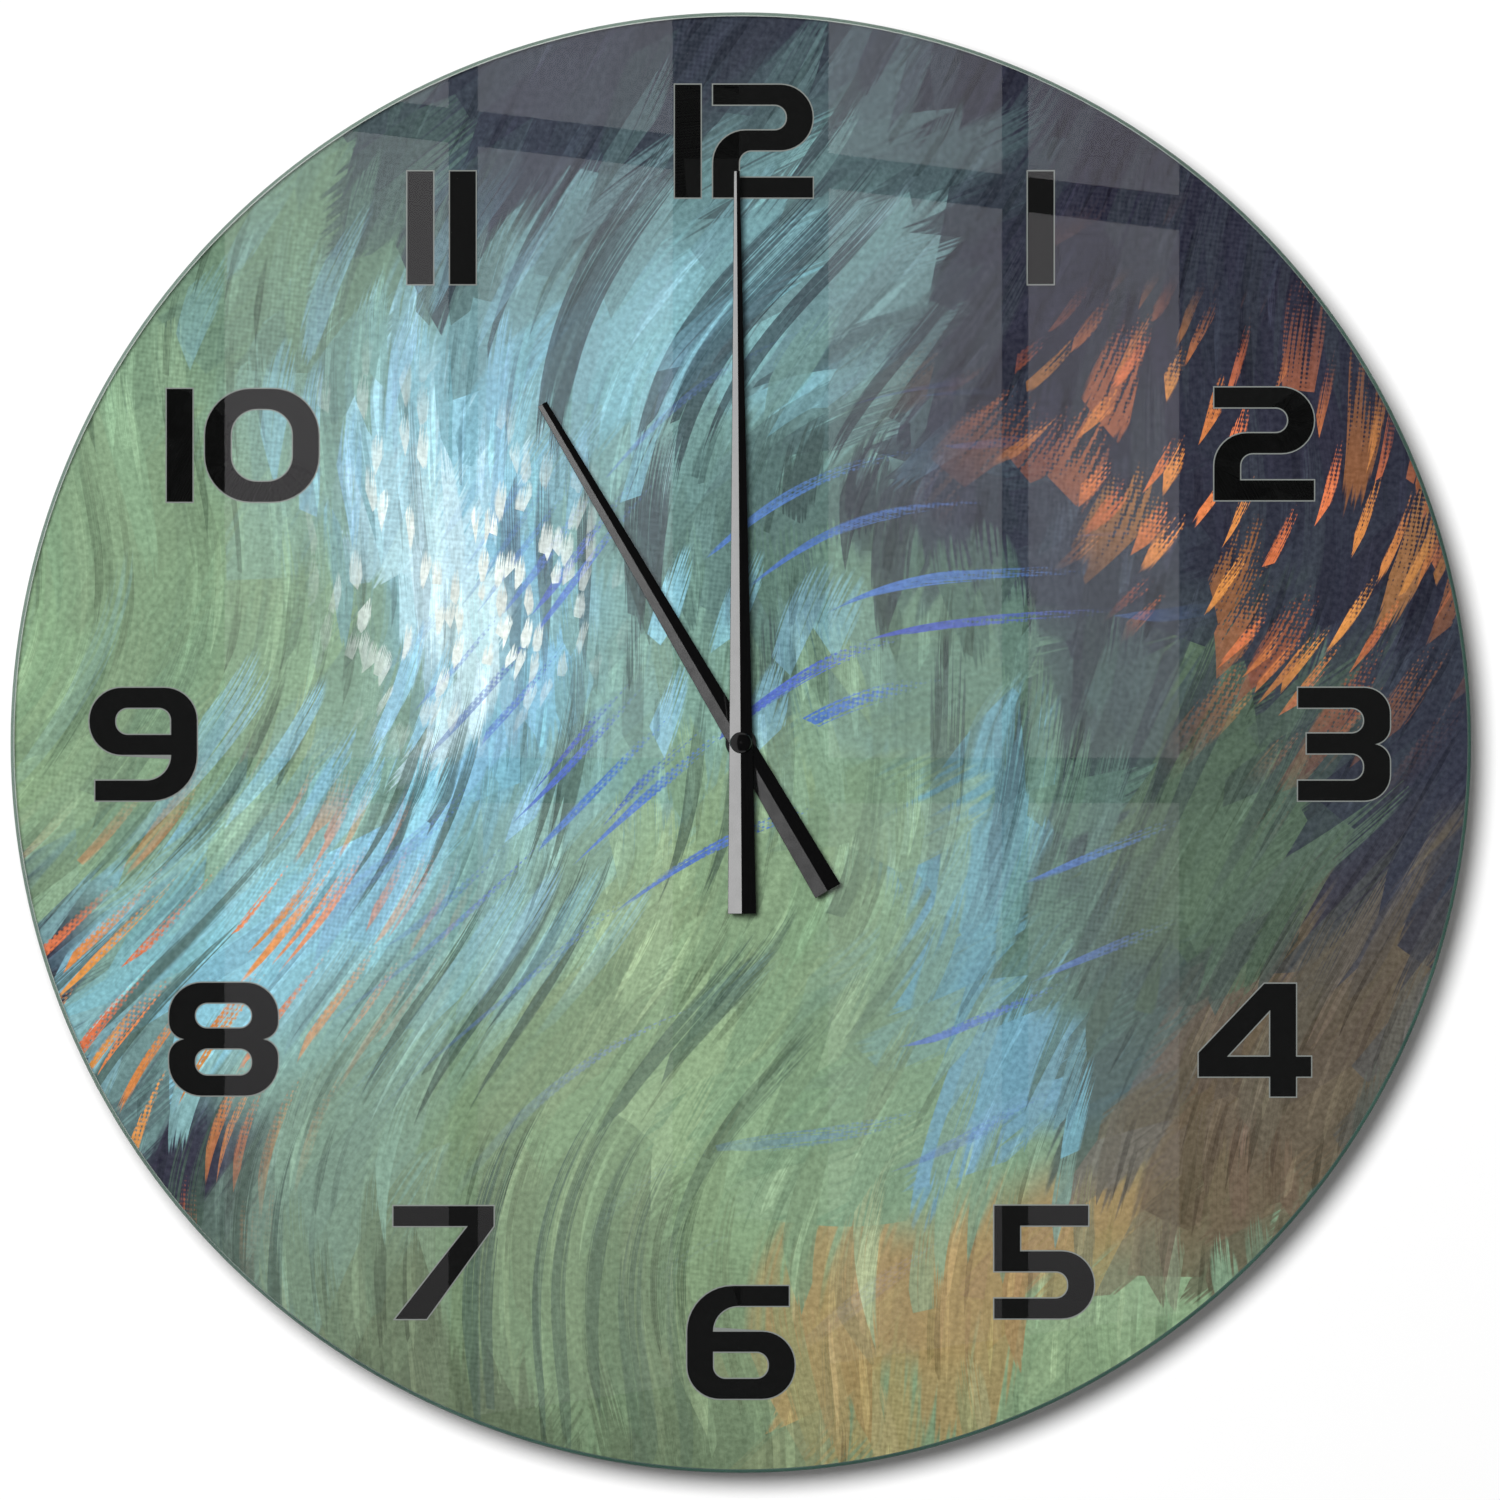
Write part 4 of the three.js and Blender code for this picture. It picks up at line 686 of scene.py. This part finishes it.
def black_lacquer(name, colour, roughness, shine=0.5):
    """Smooth black lacquer with a trace of the brushing under it."""
    n = new_material(name)
    place = n.here()
    lines = n.noise(n.stretched(place, (1.0, 1.0, 0.05)), 7000.0, 2.0)
    tone = n.mix(n.between(lines, 0.3, 0.7), colour, shaded(colour, 1.5))
    gloss = n.between(n.noise(place, 420.0, 2.0), 0.3, 0.7, roughness - 0.02, roughness + 0.02)
    return n.finish(tone, gloss, Specular_IOR_Level=shine, Normal=n.bump(lines, 0.0003 * MM))


# Glass, print and numerals

def bore(node):
    """The radius of the hole round the hands' axis in a CAD node."""
    return min(math.hypot(v.co.x, v.co.z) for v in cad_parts[node].data.vertices)


disc_radius, print_radius = (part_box(node)[1].x for node in ("glass_disc", "dial_print"))
glass_front, glass_rear = (corner.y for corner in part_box("glass_disc"))
print_front, print_rear = (corner.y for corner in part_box("dial_print"))


def add_glass():
    hole = bore("glass_disc")
    flat, ease = disc_radius - GLASS_ARRIS, GLASS_ARRIS / 2
    front = [(hole, glass_front + ease), (hole + ease, glass_front), (print_radius, glass_front)]
    rim = arc((flat, glass_front + GLASS_ARRIS), GLASS_ARRIS, -90, 0, 5)
    rim += arc((flat, glass_rear - GLASS_ARRIS), GLASS_ARRIS, 0, 90, 5)
    rear = [(print_radius, glass_rear), (hole + ease, glass_rear), (hole, glass_rear - ease)]
    # Material 0 is the polished front, 1 the rim and the hole, and 2 the back
    kinds = [1, 0, 1] + [1] * len(rim) + [2, 1, 1]
    shape = lathe(front + rim + rear, ROUND_SIDES, kinds=kinds, closed=True)
    materials = [clear_glass(), edge_glass(), bonded_glass()]
    add_piece(shape, "glass", materials, "clock_body", ["glass_disc"])


def add_print():
    hole = bore("dial_print")
    radii = [hole + (print_radius - hole) * i / PRINT_RINGS for i in range(PRINT_RINGS + 1)]
    profile = [(radius, print_front) for radius in radii]
    profile += [(radius, print_rear) for radius in reversed(radii)]
    kinds = [0] * PRINT_RINGS + [1] * (PRINT_RINGS + 2)
    shape = lathe(profile, ROUND_SIDES, kinds=kinds, closed=True)
    materials = [dial_print(), backing_paint()]
    add_piece(shape, "painted_print", materials, "clock_body", ["dial_print"])


# Digits in millimetres. Corners are (x, z) or (x, z, radius) from the digit's lower left.
TOP = NUMERAL_HEIGHT
STEM = 5.3
STROKE = 4.1
MIDDLE_TOP = 13.8
MIDDLE_BOTTOM = MIDDLE_TOP - STROKE
INNER = 2.6
BOWL = (TOP - MIDDLE_BOTTOM - 0.1) / 2
WAIST = 3.6
WAIST_RISE = 0.8
NOTCH = 3.1
ZERO_BOWL = 9.5
THREE_BOWL = 5.3
THREE_BAR = 1.8
SIX_SHOULDER = 9.4
BAR_INSET = 1.2
FOUR_ARM = 3.1
FOUR_PEAK = 1.2
FOUR_CORNER = 9
FOUR_HOLE = (5.8, 17.8)
SEVEN_FOOT = (0.4, 6.8)


def waist(x, notch):
    return [(x, TOP / 2 - WAIST_RISE, WAIST), (notch, TOP / 2), (x, TOP / 2 + WAIST_RISE, WAIST)]


def box_loop(left, right, bottom, top, radius):
    return [(left, bottom, radius), (right, bottom, radius), (right, top, radius), (left, top, radius)]


def zero(w):
    return [box_loop(0, w, 0, TOP, ZERO_BOWL),
            box_loop(STEM, w - STEM, STROKE, TOP - STROKE, ZERO_BOWL - STROKE)]


def one(w):
    return [[(0, 0), (w, 0), (w, TOP), (0, TOP)]]


def two(w):
    return [[
        (0, 0), (w, 0), (w, STROKE), (STEM, STROKE), (STEM, MIDDLE_BOTTOM, INNER), (w, MIDDLE_BOTTOM, BOWL),
        (w, TOP, BOWL), (0, TOP), (0, TOP - STROKE), (w - STEM, TOP - STROKE, INNER),
        (w - STEM, MIDDLE_TOP, INNER), (0, MIDDLE_TOP, BOWL),
    ]]


def three(w):
    return [[
        (0, 0), (w, 0, THREE_BOWL), *waist(w, w - NOTCH), (w, TOP, THREE_BOWL), (0, TOP), (0, TOP - STROKE),
        (w - STEM, TOP - STROKE, INNER), (w - STEM, MIDDLE_TOP, INNER), (THREE_BAR, MIDDLE_TOP),
        (THREE_BAR, MIDDLE_BOTTOM), (w - STEM, MIDDLE_BOTTOM, INNER), (w - STEM, STROKE, INNER), (0, STROKE),
    ]]


def four(w):
    right = w - FOUR_ARM
    left = right - STEM
    return [
        [(left, 0), (right, 0), (right, STROKE), (w, STROKE), (w, 2 * STROKE), (right, 2 * STROKE),
         (right, TOP), (left - FOUR_PEAK, TOP), (0, FOUR_CORNER), (0, STROKE), (left, STROKE)],
        [(FOUR_HOLE[0], 2 * STROKE), (left, 2 * STROKE), (left, FOUR_HOLE[1])],
    ]


def five(w):
    return [[
        (0, 0), (w, 0, BOWL), (w, MIDDLE_TOP, BOWL), (STEM, MIDDLE_TOP), (STEM, TOP - STROKE),
        (w - BAR_INSET, TOP - STROKE), (w - BAR_INSET, TOP), (0, TOP), (0, MIDDLE_BOTTOM),
        (w - STEM, MIDDLE_BOTTOM, INNER), (w - STEM, STROKE, INNER), (0, STROKE),
    ]]


def six(w):
    return [
        [(0, 0, BOWL), (w, 0, BOWL), (w, MIDDLE_TOP, BOWL), (STEM, MIDDLE_TOP),
         (STEM, TOP - STROKE, 2 * INNER), (w - BAR_INSET, TOP - STROKE), (w - BAR_INSET, TOP),
         (0, TOP, SIX_SHOULDER)],
        [(STEM, STROKE, INNER), (w - STEM, STROKE, INNER), (w - STEM, MIDDLE_BOTTOM, INNER),
         (STEM, MIDDLE_BOTTOM)],
    ]


def seven(w):
    return [[(SEVEN_FOOT[0], 0), (SEVEN_FOOT[1], 0), (w, TOP - STROKE), (w, TOP), (0, TOP), (0, TOP - STROKE),
             (w - STEM, TOP - STROKE)]]


def eight(w):
    edge = [(0, 0, BOWL), (w, 0, BOWL), *waist(w, w - NOTCH), (w, TOP, BOWL), (0, TOP, BOWL),
            *reversed(waist(0, NOTCH))]
    return [edge, box_loop(STEM, w - STEM, STROKE, MIDDLE_BOTTOM, INNER),
            box_loop(STEM, w - STEM, MIDDLE_TOP, TOP - STROKE, INNER)]


def nine(w):
    return [[(w - x, TOP - z, *rest) for x, z, *rest in loop] for loop in six(w)]


# The width and outlines of each digit, from 0 to 9
DIGITS = [(23.4, zero), (STEM, one), (20.5, two), (18.9, three), (23.1, four), (20.5, five), (22.1, six),
          (20.6, seven), (22.4, eight), (22.1, nine)]


def add_numerals():
    """Each digit is a black face on a slightly larger grey one, which shows as its thin outline."""
    ink = printed_ink("numeral_ink", srgb(18, 18, 18))
    outline = printed_ink("numeral_outline", srgb(134, 136, 134))
    seam, margin = (glass_rear + print_front) / 2, NUMERAL_OUTLINE * MM
    for hour in range(1, 13):
        digits = [DIGITS[int(digit)] for digit in str(hour)]
        gap = ELEVEN_GAP if hour == 11 else DIGIT_GAP
        total = sum(width for width, outlines in digits) + gap * (len(digits) - 1)
        angle = radians(90 - 30 * hour)
        right, up = NUMERAL_SHIFTS[hour]
        left = NUMERAL_RADIUS / MM * cos(angle) + right - total / 2
        bottom = NUMERAL_RADIUS / MM * sin(angle) + up - NUMERAL_HEIGHT / 2
        for i, (width, outlines) in enumerate(digits):
            spot = Vector((left, bottom))
            loops = [distinct([(point + spot) * MM for point in rounded(loop)]) for loop in outlines(width)]
            grown = [offset(loops[0], margin), *(offset(loop, -margin) for loop in loops[1:])]
            shape = prism(bmesh.new(), loops, glass_rear, seam)
            prism(shape, grown, seam, print_front, kind=1)
            node = f"numeral_{hour}" if len(digits) == 1 else f"numeral_{hour}_{('left', 'right')[i]}"
            add_piece(shape, f"printed_{node}", [ink, outline], "clock_body", [node])
            left += width + gap


# Hands and cap nut

def blade(seat, tip, tail, tip_width, tail_width):
    """A sheet folded along its middle, from its tail to its tip. Lengths are in millimetres."""
    shape = bmesh.new()
    rings = []
    for z, width in ((-tail, tail_width), (tip, tip_width)):
        half, sheet = width / 2, HAND_SHEET
        rise = half * ROOF_SLOPE
        section = [(-half, 0), (-half, -sheet), (0, -sheet - rise), (half, -sheet), (half, 0), (0, -rise)]
        rings.append([shape.verts.new((x * MM, (lift - seat) * MM, z * MM)) for x, lift in section])
    for i in range(6):
        shape.faces.new([rings[0][i], rings[0][i - 1], rings[1][i - 1], rings[1][i]])
    for ring in rings:
        shape.faces.new([ring[i] for i in (0, 1, 2, 5)])
        shape.faces.new([ring[i] for i in (5, 2, 3, 4)])
    bmesh.ops.recalc_face_normals(shape, faces=shape.faces)
    edges = [edge for edge in shape.edges if edge.calc_face_angle(0.0) > radians(10)]
    bmesh.ops.bevel(shape, geom=edges, offset=HAND_EDGE, segments=2, profile=0.5, affect="EDGES",
                    clamp_overlap=True)
    return shape


def add_hand(name, node, body, sizes, material):
    shape = blade(sizes["seat"], sizes["tip"], sizes["tail"], *sizes["widths"])
    seat, front, hub, inner = (sizes[key] * MM for key in ("seat", "hub_front", "hub", "bore"))
    ring = [(0.0, -seat), (hub, -seat), (hub, -front), (0.0, -front)]
    shape = combined(shape, lathe(ring), "UNION")
    before, behind = -front - 3 * MM, -10 * MM
    hole = [(0.0, before), (inner, before), (inner, behind), (0.0, behind)]
    shape = combined(shape, lathe(hole), "DIFFERENCE")
    turn = radians(sizes["degrees"])
    for vertex in shape.verts:
        x, z = vertex.co.x, vertex.co.z
        vertex.co.x = x * cos(turn) + z * sin(turn)
        vertex.co.z = z * cos(turn) - x * sin(turn)
    add_piece(shape, name, [material], body, [node], sharp=HAND_SHARP_DEGREES)


def add_hands():
    lacquer = black_lacquer("hand_metal", (0.003, 0.003, 0.0031, 1.0), 0.2)
    add_hand("folded_hour_hand", "hour_hand", "hour_set", HOUR_HAND, lacquer)
    add_hand("folded_minute_hand", "minute_hand", "minute_set", MINUTE_HAND, lacquer)


def add_cap_nut():
    low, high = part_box("cap_nut")
    radius, height = high.x, high.y - low.y
    skirt, edge = low.y + height / 2, NUT_EDGE
    dome = [(radius * cos(a), skirt - height / 2 * sin(a)) for a in angles(0, 84, 14)]
    floor, hole = low.y + NUT_FRONT, MINUTE_HAND["bore"] * MM
    foot = [(0.0, floor), (hole, floor), (hole, high.y), (radius - edge, high.y), (radius, high.y - edge)]
    shape = lathe(foot + dome + [(0.0, low.y)])
    material = black_lacquer("nut_metal", (0.003, 0.003, 0.0031, 1.0), 0.16, shine=0.3)
    add_piece(shape, "domed_cap_nut", [material], "minute_set", ["cap_nut"])


# Battery, knob, spacers and hanger on the back

def add_battery():
    """A round cell whose plain sleeve is crimped over its steel base and over the washer round its nub."""
    low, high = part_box("battery")
    radius, middle = (high.z - low.z) / 2, (low + high) / 2
    nub, nub_length, crimp = CELL_NUB[0] * MM, CELL_NUB[1] * MM, CELL_CRIMP * MM
    shoulder, sunk, lip, rim = high.x - nub_length, 0.25 * MM, 0.2 * MM, radius - 1.3 * crimp
    base = [(0.0, low.x), (radius - 2 * crimp, low.x), (radius - 2 * crimp + lip, low.x + sunk)]
    sleeve = [(rim, low.x + sunk), *arc((radius - crimp, low.x + crimp), crimp, -90, 0, 6)]
    band = [(radius, shoulder - CELL_BAND * MM), *arc((radius - crimp, shoulder - crimp), crimp, 0, 90, 6)]
    washer = [(rim, shoulder - sunk), (nub + 2 * lip, shoulder - sunk), (nub + lip, shoulder - sunk / 2)]
    cap = [(nub, shoulder), *arc((nub - lip, high.x - lip), lip, 0, 90, 4), (0.0, high.x)]
    parts = [(0, base), (1, sleeve), (2, band), (3, washer), (0, cap)]
    profile = [point for kind, points in parts for point in points]
    kinds = [kind for kind, points in parts for point in points]
    shape = lathe(profile, 96, kinds=kinds)
    for vertex in shape.verts:
        out, along, up = vertex.co
        vertex.co = (along, middle.y + out, middle.z + up)
    materials = [brushed("cell_steel", srgb(200, 202, 205), 0.24),
                 moulded("battery_sleeve", srgb(60, 66, 74), 0.26),
                 moulded("cell_band", srgb(176, 180, 184), 0.26),
                 moulded("cell_washer", srgb(214, 210, 198), 0.6)]
    add_piece(shape, "sleeved_battery", materials, "battery_cell", ["battery"])


def add_setting_knob():
    """A fluted thumb knob with a rounded rim and a shallow dish round a low boss."""
    low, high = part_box("setting_knob")
    radius, centre = (high.x - low.x) / 2, ((low.x + high.x) / 2, (low.z + high.z) / 2)
    bore, bore_end, ease = KNOB_BORE[0] * MM, low.y + KNOB_BORE[1] * MM, 0.35 * MM
    front = [(0.0, bore_end), (bore, bore_end), (bore, low.y), (radius - ease, low.y)]
    rim = arc((radius - ease, low.y + ease), ease, -90, 0, 4)
    rim += arc((radius - ease, high.y - ease), ease, 0, 90, 4)
    dish = [(0.68 * radius, high.y), (0.62 * radius, high.y - 0.1 * MM), (0.52 * radius, high.y - 0.4 * MM),
            (0.26 * radius, high.y - 0.5 * MM), (0.2 * radius, high.y - 0.25 * MM), (0.0, high.y - 0.2 * MM)]
    shape = lathe(front + rim[1:] + dish, 8 * KNOB_FLUTES, centre, flutes=KNOB_FLUTES,
                  depth=KNOB_FLUTE_DEPTH * MM)
    add_piece(shape, "fluted_setting_knob", [MATERIALS["knob_plastic"]], "setting_set", ["setting_knob"])


def add_spacers():
    """Tapered rubber feet with rounded edges on a short collar."""
    for side in ("left", "right"):
        node = f"wall_spacer_{side}"
        low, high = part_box(node)
        radius, tip, round_edge = (high.x - low.x) / 2, SPACER_TIP_RADIUS * MM, 0.6 * MM
        collar = low.y + SPACER_COLLAR * MM
        profile = [(0.0, low.y), (radius - round_edge / 2, low.y), (radius, low.y + round_edge / 2),
                   (radius, collar - round_edge), (radius - 0.1 * MM, collar),
                   (radius - 0.2 * MM, collar + round_edge),
                   *arc((tip - round_edge, high.y - round_edge), round_edge, 0, 90, 5), (0.0, high.y)]
        shape = lathe(profile, place=((low.x + high.x) / 2, (low.z + high.z) / 2))
        add_piece(shape, f"tapered_spacer_{side}", [MATERIALS["rubber"]], "clock_body", [node])


def add_hanger():
    """The stamped strip with its bends and corners rounded, and a keyhole in its bridge."""
    low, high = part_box("hanger_plate")
    side, half, sheet = high.x, HANGER_BRIDGE * MM / 2, HANGER_SHEET * MM
    seat, crown = low.y + sheet, high.y
    bend, inner = 1.6 * sheet, 0.6 * sheet
    section = [(-side, low.y), (sheet - half, low.y, bend), (sheet - half, crown - sheet, inner),
               (half - sheet, crown - sheet, inner), (half - sheet, low.y, bend), (side, low.y), (side, seat),
               (half, seat, inner), (half, crown, bend), (-half, crown, bend), (-half, seat, inner),
               (-side, seat)]
    strip = prism(bmesh.new(), [rounded(section, 6)], low.z, high.z)
    for vertex in strip.verts:
        x, z, y = vertex.co
        vertex.co = (x, y, z)
    past, corner = 1 * MM, 3 * MM
    plan = rounded(box_loop(-side, side, low.z, high.z, corner), 8)
    strip = combined(strip, prism(bmesh.new(), [plan], low.y - past, crown + past), "INTERSECT")
    middle, spread = (low.z + high.z) / 2, KEYHOLE_SPREAD * MM
    wide, slot = KEYHOLE_RADIUS * MM, KEYHOLE_SLOT * MM
    meeting = math.degrees(math.acos(slot / wide))
    round_head, round_end = angles(meeting, -180 - meeting, 40), angles(180, 0, 16)
    hole = [Vector((wide * cos(a), middle - spread + wide * sin(a))) for a in round_head]
    hole += [Vector((slot * cos(a), middle + spread + slot * sin(a))) for a in round_end]
    strip = combined(strip, prism(bmesh.new(), [hole], crown - 2 * sheet, crown + past), "DIFFERENCE")
    add_piece(strip, "stamped_hanger", [MATERIALS["hanger_steel"]], "clock_body", ["hanger_plate"],
              ease=0.12 * MM)


add_glass()
add_print()
add_numerals()
add_hands()
add_cap_nut()
add_battery()
add_setting_knob()
add_spacers()
add_hanger()

DRESSED = {
    "foam_tape": ["adhesive_pad", "hanger_pad"],
    "case_plastic": ["front_case", "rear_cover"],
    "plate_plastic": ["middle_plate"],
    "gear_plastic": ["hour_wheel", "motion_wheel", "minute_gear", "third_wheel", "second_wheel",
                     "intermediate_wheel", "rotor_pinion"],
    "brass": ["cannon_pinion"],
    "spring_steel": ["clutch_spring", "positive_contact", "negative_contact"],
    "magnet": ["rotor_magnet"],
    "soft_iron": ["stator", "coil_core"],
    "screw_steel": ["core_screw_left", "core_screw_right"],
    "bobbin_plastic": ["coil_bobbin"],
    "copper_wire": ["coil_winding"],
    "circuit_board": ["circuit_board"],
    "chip_resin": ["timing_chip"],
    "crystal_can": ["quartz_crystal"],
}
for slot, nodes in DRESSED.items():
    for node in nodes:
        dress(node, slot)


# Stage: wall, floor, lamps and camera

def add_sheet(name, points, faces, material):
    mesh = bpy.data.meshes.new(name)
    mesh.from_pydata(points, [], faces)
    mesh.materials.append(material)
    material.cycles.emission_sampling = "NONE"
    sheet = bpy.data.objects.new(name, mesh)
    scene.collection.objects.link(sheet)
    return sheet


def hide_from(thing, *rays):
    for ray in rays:
        setattr(thing, f"visible_{ray}", False)


def one_way(name, colour, glow):
    """Pale from its front. From behind, and for light on its way to the clock, it isn't there."""
    n = new_material(name)
    tone = n.mix(n.noise(n.here(), 40.0, 4.0), shaded(colour, 0.995), colour)
    paint, light = n.add("BsdfDiffuse", Color=tone), n.add("Emission", Color=colour, Strength=glow)
    lit = n.add("AddShader", in0=paint, in1=light)
    shadow_ray = n.add("LightPath").outputs["Is Shadow Ray"]
    unseen = n.math("MAXIMUM", n.add("NewGeometry").outputs["Backfacing"], shadow_ray)
    return n.end(n.add("MixShader", in0=unseen, in1=lit, in2=n.add("BsdfTransparent")))


def add_room():
    """A wall behind the clock and a wide floor, which don't light it or show in its polish."""
    wide, far, wall_y = WALL_REACH, FLOOR_REACH, 0.5 * MM
    wall = [(-wide, wall_y, FLOOR_Z), (wide, wall_y, FLOOR_Z), (wide, wall_y, wide), (-wide, wall_y, wide)]
    floor = [(-far, -far, FLOOR_Z), (far, -far, FLOOR_Z), (far, far, FLOOR_Z), (-far, far, FLOOR_Z)]
    for name, corners, shade, glow in (("wall", wall, WALL_PAINT, 0.03), ("floor", floor, FLOOR_PAINT, 0.6)):
        side = add_sheet(name, corners, [range(4)], one_way(f"{name}_paint", shade, glow))
        hide_from(side, "diffuse", "glossy")


def only_mirrored(sheet):
    """Leaves the sheet to be seen in polished surfaces alone."""
    hide_from(sheet, "camera", "diffuse", "transmission", "shadow")


def toward(azimuth, elevation):
    """The direction from the clock. Azimuth 0 is straight in front, and 90 at the clock's right."""
    a, e = radians(azimuth), radians(elevation)
    return Vector((sin(a) * cos(e), -cos(a) * cos(e), sin(e)))


def add_dark_screen():
    """A curved dark cloth in front and at the right, mirrored by the glass and the hands' right sides."""
    n = new_material("dark_cloth")
    strength = n.between(n.noise(n.here(), 6.0, 2.0), 0.3, 0.7, 0.015, 0.03)
    material = n.end(n.add("Emission", Color=(0.6, 0.6, 0.62, 1.0), Strength=strength))
    turns, rises = range(-22, 99, 10), range(-60, 61, 15)
    points = [toward(turn, rise) * SCREEN_DISTANCE for turn in turns for rise in rises]
    row = len(rises)
    faces = [(i * row + k, (i + 1) * row + k, (i + 1) * row + k + 1, i * row + k + 1)
             for i in range(len(turns) - 1) for k in range(row - 1)]
    only_mirrored(add_sheet("dark_screen", points, faces, material))


def add_window():
    """Window panes far in front, which the polished glass mirrors faintly, from their edges on the dial."""
    n = new_material("daylight")
    height = n.add("SeparateXYZ", Vector=n.here()).outputs["Z"]
    haze = n.times(n.noise(n.here(), 3.0, 2.0), 0.5)
    strength = n.math("ADD", n.between(height, -0.3, 0.32, 0.25, 1.05), haze)
    material = n.end(n.add("Emission", Color=(1.0, 0.97, 1.0, 1.0), Strength=strength))
    spread = 1 + WINDOW_DISTANCE / CAMERA_DISTANCE
    points, faces = [], []
    for left, right in PANE_COLUMNS:
        for (low, low_slope), (high, high_slope) in PANE_ROWS:
            faces.append(range(len(points), len(points) + 4))
            for x, start, slope in ((left, low, low_slope), (right, low, low_slope),
                                    (right, high, high_slope), (left, high, high_slope)):
                z = start + slope * x
                points.append((CAMERA_X + (x * MM - CAMERA_X) * spread, glass_front - WINDOW_DISTANCE,
                               CAMERA_Z + (z * MM - CAMERA_Z) * spread))
    only_mirrored(add_sheet("window", points, faces, material))


def add_world():
    """White to look at, and dim as light on the clock."""
    world = bpy.data.worlds.new("studio")
    world.use_nodes = True
    scene.world = world
    n = Nodes(world.node_tree)
    path = n.add("LightPath").outputs
    through = n.math("MAXIMUM", path["Is Glossy Ray"], path["Is Transmission Ray"])
    seen = n.math("MAXIMUM", path["Is Camera Ray"], through)
    strength = n.between(seen, 0.0, 1.0, AMBIENT, 1.0)
    n.add("OutputWorld", Surface=n.add("Background", Color=(1.0, 1.0, 1.0, 1.0), Strength=strength))


def add_lamp(name, azimuth, elevation, distance, size, watts, shape="RECTANGLE"):
    """A soft lamp that faces the clock."""
    lamp = bpy.data.lights.new(name, "AREA")
    lamp.shape = shape
    lamp.size, lamp.size_y = size
    lamp.energy = watts
    holder = bpy.data.objects.new(name, lamp)
    scene.collection.objects.link(holder)
    away = toward(azimuth, elevation)
    holder.location = away * distance
    holder.rotation_euler = away.to_track_quat("Z", "Y").to_euler()
    hide_from(holder, "camera", "transmission", "glossy")
    return holder


def add_lamps():
    """The key lamp in front, two behind that light the back alone, and a strip for the hands to mirror."""
    add_lamp("key", azimuth=-6.4, elevation=6.4, distance=2.2, size=(0.52, 0.52), watts=46.5, shape="DISK")
    add_lamp("back_left", azimuth=150.0, elevation=25.0, distance=3.0, size=(1.6, 1.6), watts=72.0)
    add_lamp("back_right", azimuth=215.0, elevation=20.0, distance=3.0, size=(1.6, 1.6), watts=48.0)
    for name in ("back_left", "back_right"):
        bpy.data.lights[name].cycles.max_bounces = 0
    strip = add_lamp("strip", azimuth=-40.0, elevation=8.0, distance=2.0, size=(0.9, 1.6), watts=44.0)
    strip.visible_glossy = True
    hide_from(strip, "diffuse")
    lit = bpy.data.collections.new("lit_by_strip")
    for name in ("folded_hour_hand", "folded_minute_hand"):
        lit.objects.link(bpy.data.objects[name])
    strip.light_linking.receiver_collection = lit


add_room()
add_dark_screen()
add_window()
add_world()
add_lamps()

camera = bpy.data.cameras.new("camera")
camera.sensor_width = SENSOR_WIDTH
camera.lens = SENSOR_WIDTH * CAMERA_DISTANCE / FRAME_WIDTH
viewer = bpy.data.objects.new("camera", camera)
viewer.location = (CAMERA_X, glass_front - CAMERA_DISTANCE, CAMERA_Z)
viewer.rotation_euler = (radians(90), 0.0, 0.0)
scene.collection.objects.link(viewer)
scene.camera = viewer
scene.view_settings.view_transform = "Standard"
